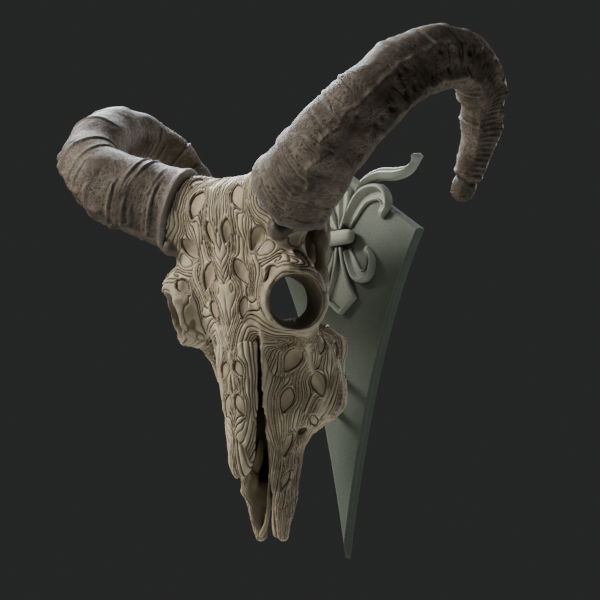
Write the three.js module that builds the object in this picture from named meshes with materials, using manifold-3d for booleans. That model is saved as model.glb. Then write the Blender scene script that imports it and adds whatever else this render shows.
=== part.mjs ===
// A horned goat skull on a pointed wall plaque with a lily ornament in relief.
// Millimetres, +Z up. The wall is the plane y = 0, the face looks along -Y, and x = 0 is the mirror plane.
import * as THREE from "three";
import { mergeVertices } from "three/addons/utils/BufferGeometryUtils.js";
import Module from "manifold-3d";

const wasm = await Module();
wasm.setup();

// Clearance between pieces that touch.
const GAP = 0.3;

// Skull sections from the poll down to the muzzle, as half outlines of the bone at each height:
// top is the midline of the brow or nose, edge its shoulder, flank the widest place,
// base the lower corner and floor the midline of the palate or skull base.
const SECTIONS = [
  { z: 30, top: -84, edge: [9, -82], flank: [14, -70], base: [9, -60], floor: -58 },
  { z: 22, top: -111, edge: [17, -106], flank: [25, -84], base: [20, -58], floor: -52 },
  { z: 12, top: -125.5, edge: [22, -121], flank: [33, -96], base: [27, -58], floor: -46 },
  { z: -6, top: -127.5, edge: [32, -121], flank: [39, -103], base: [30, -58], floor: -43 },
  { z: -28, top: -124.5, edge: [40.5, -117], flank: [46, -107], base: [27, -63], floor: -50 },
  { z: -46, top: -121.2, edge: [36, -114], flank: [33, -100], base: [19, -77], floor: -71 },
  { z: -62, top: -118.6, edge: [28, -112], flank: [29, -97], base: [17, -82], floor: -78 },
  { z: -76, top: -116.4, edge: [20, -109], flank: [38, -84], base: [36, -51], floor: -60 },
  { z: -88, top: -115, edge: [17.5, -107.5], flank: [42, -76], base: [31.5, -46.5], floor: -54 },
  { z: -106, top: -112.6, edge: [16, -105.5], flank: [43.5, -66], base: [31.5, -45.5], floor: -52 },
  { z: -121, top: -108, edge: [15.2, -103], flank: [42, -66], base: [30, -48.5], floor: -54 },
  { z: -130, top: -103, edge: [14.8, -100.5], flank: [29, -74], base: [22, -61], floor: -59 },
  { z: -140, top: -99, edge: [14.2, -97.5], flank: [19, -79], base: [16.5, -66], floor: -64 },
  { z: -157, top: -94, edge: [13.6, -93], flank: [15, -81], base: [14.5, -68], floor: -67 },
  { z: -175, top: -88.5, edge: [12.4, -87.5], flank: [13.6, -79], base: [12.6, -71], floor: -70 },
  { z: -189, top: -84, edge: [11.2, -83], flank: [13, -78], base: [11.5, -73], floor: -73 },
  { z: -197, top: -81, edge: [9.5, -80.5], flank: [11.5, -78], base: [9.5, -75], floor: -75.5 },
];
const SECTION_SWELL = 1.5;
const SKULL_TOP = 32;
const MUZZLE_END = -200;

// Bars of bone that grow out of the sections: both ends, the radius at each and the width of the blend.
const BROW = { from: [26, -106, -34], to: [50, -113, -40], radii: [12, 8.5], soft: 10 };
const ARCH = [
  { from: [47, -92, -60], to: [45.5, -85, -42], radii: [4.5, 4.3], soft: 5 },
  { from: [45.5, -85, -42], to: [45, -84.5, -18], radii: [4.3, 4.6], soft: 4 },
  { from: [45, -84.5, -18], to: [28, -74, 4], radii: [4.6, 9], soft: 6 },
  { from: [42, -96, -72], to: [39, -76, -90], radii: [6, 5], soft: 8 },
];
const FOLD = [
  { from: [34.8, -93, -80], to: [35.2, -85.6, -93], radii: [3.2, 3.4], soft: 3 },
  { from: [35.2, -85.6, -93], to: [38.6, -74, -110], radii: [3.4, 4], soft: 3 },
  { from: [27.4, -64, -66.5], to: [35, -53, -79], radii: [3.6, 3.6], soft: 5 },
];
const CONDYLE = { from: [10, -52, 14], to: [14, -54, 20], radii: [8, 6.5], soft: 8 };
const TURBINATE = { from: [10, -92, -128], to: [7, -86, -163], radii: [2.4, 3.4], soft: 2 };
const FORAMEN = { from: [33, -80, -132], to: [21, -76, -134], radii: [4.4, 3], soft: 2 };
const PEDICLE = { from: [14, -101, 0], radii: [22, 23.6], past: 6, soft: 14 };

// Rounded bumps and hollows: middle, half sizes and the width of the blend.
const BOSS = { at: [45, -124, -18], half: [6, 6, 6], soft: 3 };
const FOSSA = { at: [40, -89, -19], half: [11, 11, 23], soft: 4 };
const BASE_HOLLOW = { at: [0, -52, -57], half: [32, 28, 22], soft: 5 };
const NAPE_HOLLOW = { at: [0, -40, 15], half: [8, 15, 8], soft: 4 };
const CAVITY_SOFT = 4;

// Cells of the bone's surface and the box that they fill.
const CELL = 4.7;
const CELLS_LOW = [-19 * CELL, -160, -212];
const CELLS_HIGH = [90, -30, 55];

// Nasal cavity: half width and depth range at each height.
const CAVITY = [
  { z: -82, half: 3, roof: -104, floor: -84 },
  { z: -95, half: 10, roof: -112, floor: -68 },
  { z: -125, half: 10.5, roof: -120, floor: -65 },
  { z: -155, half: 9.2, roof: -125, floor: -74 },
  { z: -176, half: 7.4, roof: -125, floor: -75 },
  { z: -188, half: 4.8, roof: -125, floor: -60 },
  { z: -207, half: 3.6, roof: -125, floor: -60 },
];

// Nasal bones: a roof of two long tapering plates over the cavity.
const NASAL = [
  { z: -71, half: 16, ridge: -118.9, drop: 6 },
  { z: -86, half: 14.6, ridge: -117, drop: 5.4 },
  { z: -112, half: 12.6, ridge: -114, drop: 5 },
  { z: -132, half: 10.8, ridge: -112.8, drop: 5 },
  { z: -147, half: 9, ridge: -112, drop: 4.6 },
  { z: -157, half: 6, ridge: -110.8, drop: 3.4 },
  { z: -161, half: 3, ridge: -109.6, drop: 1.6 },
];
const NASAL_THICK = 5.5;
const NASAL_STEP = 7.5;
const SLIT = 3.4;
const SLIT_START = 0.4;
const NASAL_ROOM = { front: 15, back: 4 };

// Eye sockets.
const ORBIT = new THREE.Vector3(50.4, -115, -60);
const ORBIT_TURN = THREE.MathUtils.degToRad(40);
const ORBIT_TILT = THREE.MathUtils.degToRad(17);
const ORBIT_SIGHT = THREE.MathUtils.degToRad(11);
const ORBIT_OUTER = 19.6;
const ORBIT_TALL = 1.03;
const ORBIT_INNER = 15.7;
const ORBIT_DEPTH = 30;
const ORBIT_EDGE = 2.5;
const ORBIT_FLARE = 0.06;
const ORBIT_SOFT = 6;
const ORBIT_SIDES = 24;
// Funnel of the socket: depth from the rim, shift towards the middle and what the two half widths add.
const ORBIT_FUNNEL = [
  { depth: -8, shift: 0, wide: 1.5, high: 2.5 },
  { depth: 0, shift: 0, wide: -0.6, high: 0.8 },
  { depth: 12, shift: 1.6, wide: -1.6, high: -0.5 },
  { depth: 34, shift: 6.5, wide: -3.4, high: -2 },
  { depth: 100, shift: 9, wide: -3.4, high: -2 },
];

// Carved panels sunk into the bone: height, turn from the midline and tilt outwards in degrees,
// half length and half width.
const PANELS = [
  { z: 6, turn: 16, tilt: -22, long: 9.5, wide: 4.8 },
  { z: -15, turn: 7.5, tilt: 8, long: 8, wide: 3.1 },
  { z: -21, turn: 28, tilt: 36, long: 9, wide: 4.6 },
  { z: -40, turn: 15, tilt: -26, long: 9.5, wide: 4.4 },
  { z: -43, turn: 36, tilt: 42, long: 7, wide: 3.4 },
  { z: -61, turn: 14, tilt: 14, long: 7, wide: 3 },
  { z: -92, turn: 57, tilt: 26, long: 9, wide: 4.8 },
  { z: -106, turn: 80, tilt: -20, long: 8.5, wide: 4.6 },
  { z: -116, turn: 54, tilt: 15, long: 8.5, wide: 4 },
  { z: -142, turn: 62, tilt: 6, long: 8, wide: 3 },
];
const PANEL_DEPTH = 0.9;
const PANEL_TALL = 3;
const PANEL_DRAFT = 0.12;
const PANEL_SKEW = 0.3;
const PANEL_STEPS = 4;
const PANEL_CORE = -74;
const PANEL_REACH = 90;

// Joint lines between the bones.
const FACE_SEAM = { middle: -69, side: -84, reach: 60 };
const MUZZLE_SEAM = -163;

// Horns: centre line with radius, from the base on the brow to the blunt tip.
const HORN_LINE = [
  { at: [45, -112, 7], radius: 26.5 },
  { at: [70, -124, 17], radius: 25.6 },
  { at: [94, -133, 29], radius: 23.2 },
  { at: [116, -128, 47], radius: 21.2 },
  { at: [127, -109, 67], radius: 20.2 },
  { at: [136, -84, 79], radius: 19.4 },
  { at: [137, -56, 80], radius: 17.2 },
  { at: [130, -34, 69], radius: 15.6 },
  { at: [121, -22, 52], radius: 12.8 },
  { at: [110, -15, 34], radius: 10.2 },
  { at: [99, -11, 17], radius: 6.6 },
];
const HORN_LENGTHS = ["base", "middle", "curl", "tip"];
const HORN_SIDES = 20;
const HORN_STEPS = 6;
const HORN_KEEL = 0.1;
const HORN_FLAT = 0.93;
const HORN_KEEL_START = new THREE.Vector3(0.75, -0.05, -0.75);
const HORN_KEEL_STEPS = 60;
const HORN_KEEL_SPREAD = 0.5;
const HORN_TIP = [{ scale: 0.85, out: 0.45 }, { scale: 0.5, out: 0.8 }];
const HORN_CUT = { reach: 60, half: 45, sides: 12 };

// Plaque.
const PLAQUE_THICK = 7;
const PLAQUE_BEVEL = 2;
const PLAQUE_PEAK = 47;
const PLAQUE_HALF = 62;
const PLAQUE_TIP = -210;
const PLAQUE_WAIST = [22.5, -71];
const PLAQUE_STEPS = 12;

// Lily ornament.
const RELIEF = 5;
const RELIEF_BEVEL = 1.4;
const RELIEF_STEPS = 11;
const BAND = { half: 12.5, height: 10, relief: 9, bevel: 2, corner: 3.4 };
const PETAL = [[2.4, 5.3], [6.5, 16], [9.4, 26], [9.6, 33], [0, 40]];
const TAIL = [[2.6, -5.3], [7, -20], [12.4, -40], [0, -51]];
const SCROLL = [[5.4, 7.3], [9, 15], [19, 26], [32, 27], [38, 19], [33, 10]];
const LEAF = [[12.5, 23], [19, 34.5], [32, 39], [46, 37.5], [57, 39], [66, 47]];
const CURL = [[5.6, -7.3], [8, -15], [14, -26], [22, -26], [25, -17], [21, -8]];

// Pins that carry the skull: they run from the plaque into sockets in the palate.
const PIN = { x: -6, radius: 2.6, end: -60, sides: 12 };
const PINS = { mount_pin_upper: -90, mount_pin_lower: -114 };

const BONE = { color: 0xb6a98f, roughness: 0.62, metalness: 0 };
const HORN = { color: 0x5d5148, roughness: 0.78, metalness: 0 };
const SAGE = { color: 0x5c6459, roughness: 0.6, metalness: 0 };
const STEEL = { color: 0x4a4a48, roughness: 0.45, metalness: 0.8 };

const FACE_Y = -PLAQUE_THICK;

// Value between the rows of a table at height z, eased so that the surface has no kinks.
function along(table, z, pick) {
  const last = table.length - 1;
  if (z >= table[0].z) return pick(table[0]);
  if (z <= table[last].z) return pick(table[last]);
  let i = 0;
  while (table[i + 1].z > z) i += 1;
  const row = (k) => table[Math.min(Math.max(k, 0), last)];
  const slope = (k) => {
    const before = row(k - 1);
    const after = row(k + 1);
    return (pick(after) - pick(before)) / (after.z - before.z);
  };
  const span = row(i + 1).z - row(i).z;
  const t = (z - row(i).z) / span;
  const h = t * t * (3 - 2 * t);
  const start = t * (1 - t) * (1 - t) * span * slope(i);
  const end = t * t * (t - 1) * span * slope(i + 1);
  return pick(row(i)) * (1 - h) + pick(row(i + 1)) * h + start + end;
}

// Signed distance from a point to a closed outline in the plane.
function outlineDistance(x, y, points) {
  let best = Infinity;
  let inside = false;
  for (let i = 0, j = points.length - 1; i < points.length; j = i, i += 1) {
    const [ax, ay] = points[j];
    const [bx, by] = points[i];
    const ex = bx - ax;
    const ey = by - ay;
    const t = THREE.MathUtils.clamp(((x - ax) * ex + (y - ay) * ey) / (ex * ex + ey * ey), 0, 1);
    best = Math.min(best, Math.hypot(x - ax - t * ex, y - ay - t * ey));
    if ((ay > y) !== (by > y) && x < ax + ((y - ay) / (by - ay)) * ex) inside = !inside;
  }
  return inside ? -best : best;
}

// Smooth union and smooth cut of two distances.
function blend(a, b, width) {
  const h = Math.max(width - Math.abs(a - b), 0) / width;
  return Math.min(a, b) - h * h * width * 0.25;
}

function hollow(a, b, width) {
  return -blend(-a, b, width);
}

// Distance to a bar whose radius changes from one end to the other.
function bar(p, a, b, ra, rb) {
  const axis = b.clone().sub(a);
  const t = THREE.MathUtils.clamp(p.clone().sub(a).dot(axis) / axis.lengthSq(), 0, 1);
  return p.distanceTo(a.clone().addScaledVector(axis, t)) - THREE.MathUtils.lerp(ra, rb, t);
}

function ball(p, centre, radii) {
  const q = p.clone().sub(centre).divide(radii);
  const k = q.length();
  const g = q.divide(radii).length();
  return g > 0 ? (k * (k - 1)) / g : -Math.min(radii.x, radii.y, radii.z);
}

const vec = (x, y, z) => new THREE.Vector3(x, y, z);
const orbitWay = (tilt) => vec(Math.sin(ORBIT_TURN), -Math.cos(ORBIT_TURN), -Math.tan(tilt)).normalize();
const ORBIT_AXIS = orbitWay(ORBIT_TILT);
const HORN_POINTS = HORN_LINE.map((row) => vec(...row.at));
const HORN_CURVE = new THREE.CatmullRomCurve3(HORN_POINTS, false, "centripetal");
const HORN_ROOT = HORN_POINTS[0];
const HORN_AXIS = HORN_CURVE.getTangent(0);

// Half outline of the skull at height z, closed across the mirror plane.
function skullOutline(z) {
  const value = (pick) => along(SECTIONS, z, pick);
  const half = ["edge", "flank", "base"].map((key) => [value((s) => s[key][0]), value((s) => s[key][1])]);
  const left = half.map(([x, y]) => [-x, y]).reverse();
  return [[0, value((s) => s.top)], ...half, [0, value((s) => s.floor)], ...left];
}

// Tube of the eye socket with a flat rim that faces along the orbit's axis.
function orbitTube(p) {
  const q = p.clone().sub(ORBIT);
  const depth = q.dot(ORBIT_AXIS);
  q.addScaledVector(ORBIT_AXIS, -depth);
  q.z /= ORBIT_TALL;
  const across = q.length();
  const wall = across - ORBIT_OUTER + ORBIT_EDGE - Math.min(depth, 0) * ORBIT_FLARE;
  const ends = Math.max(depth + ORBIT_EDGE, -depth - ORBIT_DEPTH);
  return Math.min(Math.max(wall, ends), 0) + Math.hypot(Math.max(wall, 0), Math.max(ends, 0)) - ORBIT_EDGE;
}

// Bone of the skull before the sockets and seams are cut: negative inside.
function skullField(px, y, z) {
  const x = Math.abs(px);
  const p = vec(x, y, z);
  const grown = (f, row) => blend(f, bar(p, vec(...row.from), vec(...row.to), ...row.radii), row.soft);
  const sunk = (f, row) => hollow(f, ball(p, vec(...row.at), vec(...row.half)), row.soft);
  let f = outlineDistance(x, y, skullOutline(z)) - SECTION_SWELL;
  f = Math.max(f, z - SKULL_TOP, MUZZLE_END - z);
  const horn = HORN_ROOT.clone().addScaledVector(HORN_AXIS, PEDICLE.past);
  f = blend(f, bar(p, vec(...PEDICLE.from), horn, ...PEDICLE.radii), PEDICLE.soft);
  f = grown(f, BROW);
  f = blend(f, ball(p, vec(...BOSS.at), vec(...BOSS.half)), BOSS.soft);
  f = sunk(f, FOSSA);
  f = blend(f, orbitTube(p), ORBIT_SOFT);
  f = ARCH.reduce(grown, f);
  f = grown(f, CONDYLE);
  f = sunk(f, BASE_HOLLOW);
  f = sunk(f, NAPE_HOLLOW);
  f = FOLD.reduce(grown, f);
  const half = along(CAVITY, z, (c) => c.half);
  const roof = along(CAVITY, z, (c) => c.roof);
  const floor = along(CAVITY, z, (c) => c.floor);
  const cave = Math.max(x - half, roof - y, y - floor, z - CAVITY[0].z);
  f = hollow(f, cave, CAVITY_SOFT);
  f = grown(f, TURBINATE);
  f = hollow(f, bar(p, vec(...FORAMEN.from), vec(...FORAMEN.to), ...FORAMEN.radii), FORAMEN.soft);
  return f;
}

// Groups of crossed cell edges, one for each sheet of surface in a cell with these corner values.
const CELL_EDGES = 24;

function cellSheets(v) {
  const inside = v.map((d) => d < 0);
  const group = new Map();
  for (let a = 0; a < 8; a += 1) {
    for (let axis = 0; axis < 3; axis += 1) {
      const b = a | (1 << axis);
      if (a !== b && inside[a] !== inside[b]) group.set(a * 3 + axis, new Set([a * 3 + axis]));
    }
  }
  const join = (e, f) => {
    const all = group.get(e);
    if (all === group.get(f)) return;
    for (const g of group.get(f)) {
      all.add(g);
      group.set(g, all);
    }
  };
  for (let normal = 0; normal < 3; normal += 1) {
    const others = [0, 1, 2].filter((axis) => axis !== normal);
    for (const level of [0, 1 << normal]) {
      const corners = [0, 1, 2, 3].map((c) => level | ((c & 1) << others[0]) | ((c >> 1) << others[1]));
      const crossed = (c) => others.map((axis) => (c & ~(1 << axis)) * 3 + axis).filter((e) => group.has(e));
      const edges = [...new Set(corners.flatMap(crossed))];
      if (edges.length === 2) join(edges[0], edges[1]);
      if (edges.length === 4) corners.filter((c) => inside[c]).forEach((c) => join(...crossed(c)));
    }
  }
  const sheets = [...new Set(group.values())];
  return sheets.map((set) => [...set].map((e) => ({ a: Math.floor(e / 3), axis: e % 3 })));
}

// Closed mesh of the zero level of a field, one vertex for each cell that the surface crosses.
function fieldMesh(field, low, high, cell) {
  const n = [0, 1, 2].map((k) => Math.ceil((high[k] - low[k]) / cell) + 1);
  const at = (k, i) => low[k] + i * cell;
  const id = (i, j, k) => (k * n[1] + j) * n[0] + i;
  const value = new Float64Array(n[0] * n[1] * n[2]);
  for (let k = 0; k < n[2]; k += 1) {
    for (let j = 0; j < n[1]; j += 1) {
      for (let i = 0; i < n[0]; i += 1) {
        const edge = [i, j, k].some((v, a) => v === 0 || v === n[a] - 1);
        value[id(i, j, k)] = edge ? cell : field(at(0, i), at(1, j), at(2, k));
      }
    }
  }
  const corner = [0, 1, 2, 3, 4, 5, 6, 7].map((c) => [c & 1, (c >> 1) & 1, (c >> 2) & 1]);
  const vertexOf = new Map();
  const positions = [];
  for (let k = 0; k < n[2] - 1; k += 1) {
    for (let j = 0; j < n[1] - 1; j += 1) {
      for (let i = 0; i < n[0] - 1; i += 1) {
        const v = corner.map(([a, b, c]) => value[id(i + a, j + b, k + c)]);
        const here = id(i, j, k) * CELL_EDGES;
        for (const sheet of cellSheets(v)) {
          const sum = [0, 0, 0];
          for (const { a, axis } of sheet) {
            const t = v[a] / (v[a] - v[a | (1 << axis)]);
            for (let m = 0; m < 3; m += 1) sum[m] += corner[a][m] + (m === axis ? t : 0);
            vertexOf.set(here + a * 3 + axis, positions.length / 3);
          }
          positions.push(...[i, j, k].map((s, m) => at(m, s) + (sum[m] / sheet.length) * cell));
        }
      }
    }
  }
  const index = [];
  const step = [1, n[0], n[0] * n[1]];
  for (let k = 1; k < n[2] - 1; k += 1) {
    for (let j = 1; j < n[1] - 1; j += 1) {
      for (let i = 1; i < n[0] - 1; i += 1) {
        const here = id(i, j, k);
        for (let axis = 0; axis < 3; axis += 1) {
          if ((value[here] < 0) === (value[here + step[axis]] < 0)) continue;
          const first = (axis + 1) % 3;
          const second = (axis + 2) % 3;
          const ring = [[1, 1], [0, 1], [0, 0], [1, 0]].map(([u, w]) => {
            const from = here - u * step[first] - w * step[second];
            return vertexOf.get(from * CELL_EDGES + ((u << first) | (w << second)) * 3 + axis);
          });
          const [a, b, c, d] = value[here] < 0 ? ring : ring.reverse();
          index.push(a, b, c, a, c, d);
        }
      }
    }
  }
  const geometry = new THREE.BufferGeometry();
  geometry.setAttribute("position", new THREE.Float32BufferAttribute(positions, 3));
  geometry.setIndex(index);
  return geometry;
}

// Closed mesh through rings of points, all with the same count, capped at both ends.
function loft(rings) {
  const count = rings[0].length;
  const positions = rings.flat().flatMap((p) => [p.x, p.y, p.z]);
  const index = [];
  for (let r = 0; r < rings.length - 1; r += 1) {
    for (let i = 0; i < count; i += 1) {
      const a = r * count + i;
      const b = r * count + ((i + 1) % count);
      index.push(a, b, b + count, a, b + count, a + count);
    }
  }
  for (const [r, flip] of [[0, true], [rings.length - 1, false]]) {
    const middle = rings[r].reduce((s, p) => s.add(p), vec(0, 0, 0)).divideScalar(count);
    const hub = positions.length / 3;
    positions.push(middle.x, middle.y, middle.z);
    for (let i = 0; i < count; i += 1) {
      const a = r * count + i;
      const b = r * count + ((i + 1) % count);
      index.push(...(flip ? [hub, b, a] : [hub, a, b]));
    }
  }
  const geometry = new THREE.BufferGeometry();
  geometry.setAttribute("position", new THREE.Float32BufferAttribute(positions, 3));
  geometry.setIndex(index);
  return geometry;
}

// Geometry to solid and back.
function solid(geometry) {
  const bare = geometry.clone();
  bare.deleteAttribute("normal");
  bare.deleteAttribute("uv");
  const merged = mergeVertices(bare, 1e-4);
  const triVerts = new Uint32Array(merged.index.array);
  const vertProperties = new Float32Array(merged.attributes.position.array);
  const made = new wasm.Manifold(new wasm.Mesh({ numProp: 3, vertProperties, triVerts }));
  if (made.volume() > 0) return made;
  for (let i = 0; i < triVerts.length; i += 3) {
    const first = triVerts[i];
    triVerts[i] = triVerts[i + 1];
    triVerts[i + 1] = first;
  }
  return new wasm.Manifold(new wasm.Mesh({ numProp: 3, vertProperties, triVerts }));
}

function geometryOf(body) {
  const { vertProperties, triVerts } = body.getMesh();
  const geometry = new THREE.BufferGeometry();
  geometry.setAttribute("position", new THREE.BufferAttribute(new Float32Array(vertProperties), 3));
  geometry.setIndex(new THREE.BufferAttribute(new Uint32Array(triVerts), 1));
  geometry.computeVertexNormals();
  return geometry;
}

function largest(body) {
  const pieces = body.decompose();
  return pieces.reduce((a, b) => (a.volume() >= b.volume() ? a : b));
}

// Copy on the other side of the mirror plane.
function mirrored(geometry) {
  const copy = geometry.clone().scale(-1, 1, 1);
  const index = copy.index.array;
  for (let i = 0; i < index.length; i += 3) {
    const first = index[i];
    index[i] = index[i + 1];
    index[i + 1] = first;
  }
  return copy;
}

const boxSolid = (low, high) => {
  const size = high.map((v, k) => v - low[k]);
  const geometry = new THREE.BoxGeometry(...size);
  return solid(geometry.translate(...low.map((v, k) => v + size[k] / 2)));
};

// Ring of points round an axis, wide along one cross direction and high along Z.
function ovalRing(centre, axis, wide, high, sides) {
  const side = vec(0, 0, 1).cross(axis).normalize();
  const up = axis.clone().cross(side).normalize();
  return Array.from({ length: sides }, (_, i) => {
    const angle = (i / sides) * Math.PI * 2;
    return centre.clone()
      .addScaledVector(side, Math.cos(angle) * wide)
      .addScaledVector(up, Math.sin(angle) * high);
  });
}

// Funnel of the eye socket: round at the rim, narrower and nearer the middle further in.
function orbitHole() {
  const inward = orbitWay(ORBIT_SIGHT).negate();
  const medial = vec(-Math.cos(ORBIT_TURN), -Math.sin(ORBIT_TURN), 0);
  return solid(loft(ORBIT_FUNNEL.map(({ depth, shift, wide, high }) => {
    const centre = ORBIT.clone().addScaledVector(inward, depth).addScaledVector(medial, shift);
    return ovalRing(centre, inward, ORBIT_INNER + wide, ORBIT_INNER + high, ORBIT_SIDES);
  })));
}

// Place on the bone at a height and a turn from the midline, and the direction that it faces.
function boneAt(z, turn) {
  const value = (p) => skullField(p.x, p.y, p.z);
  const way = vec(Math.sin(turn), -Math.cos(turn), 0);
  const at = (d) => vec(0, PANEL_CORE, z).addScaledVector(way, d);
  let outer = PANEL_REACH;
  while (value(at(outer - 1)) > 0) outer -= 1;
  let inner = outer - 1;
  for (let i = 0; i < 20; i += 1) {
    const middle = (outer + inner) / 2;
    if (value(at(middle)) > 0) outer = middle;
    else inner = middle;
  }
  const place = at(inner);
  const slope = (axis) => value(place.clone().add(axis)) - value(place.clone().sub(axis));
  const facing = vec(slope(vec(1, 0, 0)), slope(vec(0, 1, 0)), slope(vec(0, 0, 1))).normalize();
  return { place, facing };
}

// Cutter of a panel: a lens that tilts from the height of the bone, with one end rounder than the other.
function panelCutter({ z, turn, tilt, long, wide }) {
  const { place, facing } = boneAt(z, THREE.MathUtils.degToRad(turn));
  const along = vec(0, 0, 1).addScaledVector(facing, -facing.z).normalize();
  along.applyAxisAngle(facing, -THREE.MathUtils.degToRad(tilt));
  const across = along.clone().cross(facing);
  const ring = (rise, scale) => {
    const point = (s, side) => place.clone()
      .addScaledVector(facing, rise)
      .addScaledVector(along, s * long * scale)
      .addScaledVector(across, side * (1 - s * s) * (1 + PANEL_SKEW * s) * wide * scale);
    const places = Array.from({ length: PANEL_STEPS }, (_, i) => -1 + (2 * i) / PANEL_STEPS);
    return [...places.map((s) => point(s, 1)), ...places.map((s) => point(-s, -1))];
  };
  return loft([ring(-PANEL_DEPTH, 1 - PANEL_DRAFT), ring(PANEL_TALL, 1 + PANEL_DRAFT)]);
}

// Thin wall that parts the brow from the face: a chevron that falls towards both sides.
function seamWall() {
  const shape = new THREE.Shape();
  const { middle, side, reach } = FACE_SEAM;
  shape.moveTo(-reach, side).lineTo(0, middle).lineTo(reach, side);
  shape.lineTo(reach, side - GAP).lineTo(0, middle - GAP).lineTo(-reach, side - GAP);
  const wall = new THREE.ExtrudeGeometry(shape, { depth: 200, bevelEnabled: false });
  return solid(wall.rotateX(Math.PI / 2));
}

// Nasal table at even steps from the brow to the tip, starting a lead below the brow.
function nasalRows(lead) {
  const first = NASAL[0].z - lead;
  const span = first - NASAL[NASAL.length - 1].z;
  const count = Math.round(span / NASAL_STEP);
  return Array.from({ length: count + 1 }, (_, i) => {
    const z = first - (span * i) / count;
    const value = (key) => along(NASAL, z, (row) => row[key]);
    return { z, half: value("half"), ridge: value("ridge"), drop: value("drop") };
  });
}

// Room for the nasal bones and the slit along each of them, cut out of the face.
function nasalRoom() {
  const rings = nasalRows(0).map((row, i) => {
    const half = row.half + (i === 0 ? SLIT_START : SLIT);
    const front = row.ridge - NASAL_ROOM.front;
    const deep = row.ridge + row.drop + NASAL_THICK + NASAL_ROOM.back;
    const outline = [[-half, front], [half, front], [half, deep], [-half, deep]];
    return outline.map(([x, y]) => vec(x, y, row.z));
  });
  return solid(loft(rings));
}

// One nasal bone: a plate that falls from the ridge to its rounded outer edge.
function nasalBone() {
  const rings = nasalRows(GAP).map(({ z, half, ridge, drop }) => {
    const thick = Math.min(NASAL_THICK, half);
    const edge = ridge + drop;
    const inner = GAP / 2;
    const section = [
      [inner, ridge],
      [half * 0.45, ridge + drop * 0.16],
      [half * 0.82, ridge + drop * 0.55],
      [half, edge],
      [half * 0.96, edge + thick * 0.6],
      [half * 0.8, edge + thick * 0.75],
      [half * 0.4, ridge + drop * 0.4 + thick],
      [inner, ridge + thick],
    ];
    return section.map(([x, y]) => vec(x, y, z));
  });
  return loft(rings);
}

function buildSkull() {
  let bone = solid(fieldMesh(skullField, CELLS_LOW, CELLS_HIGH, CELL));
  const hole = orbitHole();
  bone = bone.subtract(hole).subtract(solid(mirrored(geometryOf(hole))));
  for (const side of [1, -1]) {
    const flip = (v) => vec(v.x * side, v.y, v.z);
    const axis = flip(HORN_AXIS);
    const start = flip(HORN_ROOT).addScaledVector(axis, -GAP);
    const { reach, half, sides } = HORN_CUT;
    const ends = [start, start.clone().addScaledVector(axis, reach)];
    bone = bone.subtract(solid(loft(ends.map((end) => ovalRing(end, axis, half, half, sides)))));
  }
  for (const cutter of PANELS.map(panelCutter)) {
    bone = bone.subtract(solid(cutter)).subtract(solid(mirrored(cutter)));
  }
  bone = bone.subtract(nasalRoom());
  for (const z of Object.values(PINS)) {
    bone = bone.subtract(solid(pinAt(z, GAP)));
  }
  bone = bone.subtract(seamWall());
  const [reach, front, low] = CELLS_LOW;
  bone = bone.subtract(boxSolid([reach, front, MUZZLE_SEAM], [-reach, 0, MUZZLE_SEAM + GAP]));
  bone = bone.subtract(boxSolid([-GAP / 2, front, low], [GAP / 2, 0, FACE_SEAM.middle]));
  const named = {};
  for (const piece of bone.decompose()) {
    const box = piece.boundingBox();
    const side = box.min[0] + box.max[0] > 0 ? "left" : "right";
    const name = box.max[2] > 0 ? "cranium"
      : box.max[2] > MUZZLE_SEAM + 1 ? `maxilla_${side}` : `premaxilla_${side}`;
    if (!named[name] || named[name].volume() < piece.volume()) named[name] = piece;
  }
  return named;
}

// Direction of the keel at a place along the horn, carried from the base without twist.
function hornKeel(t) {
  const keel = HORN_KEEL_START.clone();
  const steps = Math.ceil(t * HORN_KEEL_STEPS);
  for (let i = 0; i <= steps; i += 1) {
    const axis = HORN_CURVE.getTangent(steps > 0 ? (t * i) / steps : 0);
    keel.addScaledVector(axis, -keel.dot(axis)).normalize();
  }
  return keel;
}

// Section of a horn at a place along it: oval, with a keel along the lower front.
function hornRing(t) {
  const centre = HORN_CURVE.getPoint(t);
  const axis = HORN_CURVE.getTangent(t);
  const place = t * (HORN_LINE.length - 1);
  const row = Math.min(Math.floor(place), HORN_LINE.length - 2);
  const radius = THREE.MathUtils.lerp(HORN_LINE[row].radius, HORN_LINE[row + 1].radius, place - row);
  const keel = hornKeel(t);
  const side = axis.clone().cross(keel).normalize();
  return Array.from({ length: HORN_SIDES }, (_, i) => {
    const angle = (i / HORN_SIDES) * Math.PI * 2;
    const off = Math.min(angle, Math.PI * 2 - angle);
    const swell = 1 + HORN_KEEL * Math.exp(-((off / HORN_KEEL_SPREAD) ** 2));
    return centre.clone()
      .addScaledVector(keel, Math.cos(angle) * radius * swell)
      .addScaledVector(side, Math.sin(angle) * radius * HORN_FLAT);
  });
}

function buildHorn() {
  const total = HORN_CURVE.getLength();
  const gap = GAP / total;
  return HORN_LENGTHS.map((name, k) => {
    const from = k / HORN_LENGTHS.length + (k === 0 ? 0 : gap);
    const to = (k + 1) / HORN_LENGTHS.length;
    const rings = [];
    for (let s = 0; s <= HORN_STEPS; s += 1) {
      rings.push(hornRing(THREE.MathUtils.lerp(from, to, s / HORN_STEPS)));
    }
    if (name === "tip") {
      const end = HORN_CURVE.getPoint(1);
      const ahead = HORN_CURVE.getTangent(1);
      const lastRing = rings[rings.length - 1];
      const reach = HORN_LINE[HORN_LINE.length - 1].radius;
      for (const { scale, out } of HORN_TIP) {
        const grow = (p) => p.clone().sub(end).multiplyScalar(scale).add(end);
        rings.push(lastRing.map((p) => grow(p).addScaledVector(ahead, out * reach)));
      }
    }
    return { name, geometry: loft(rings) };
  });
}

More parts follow.
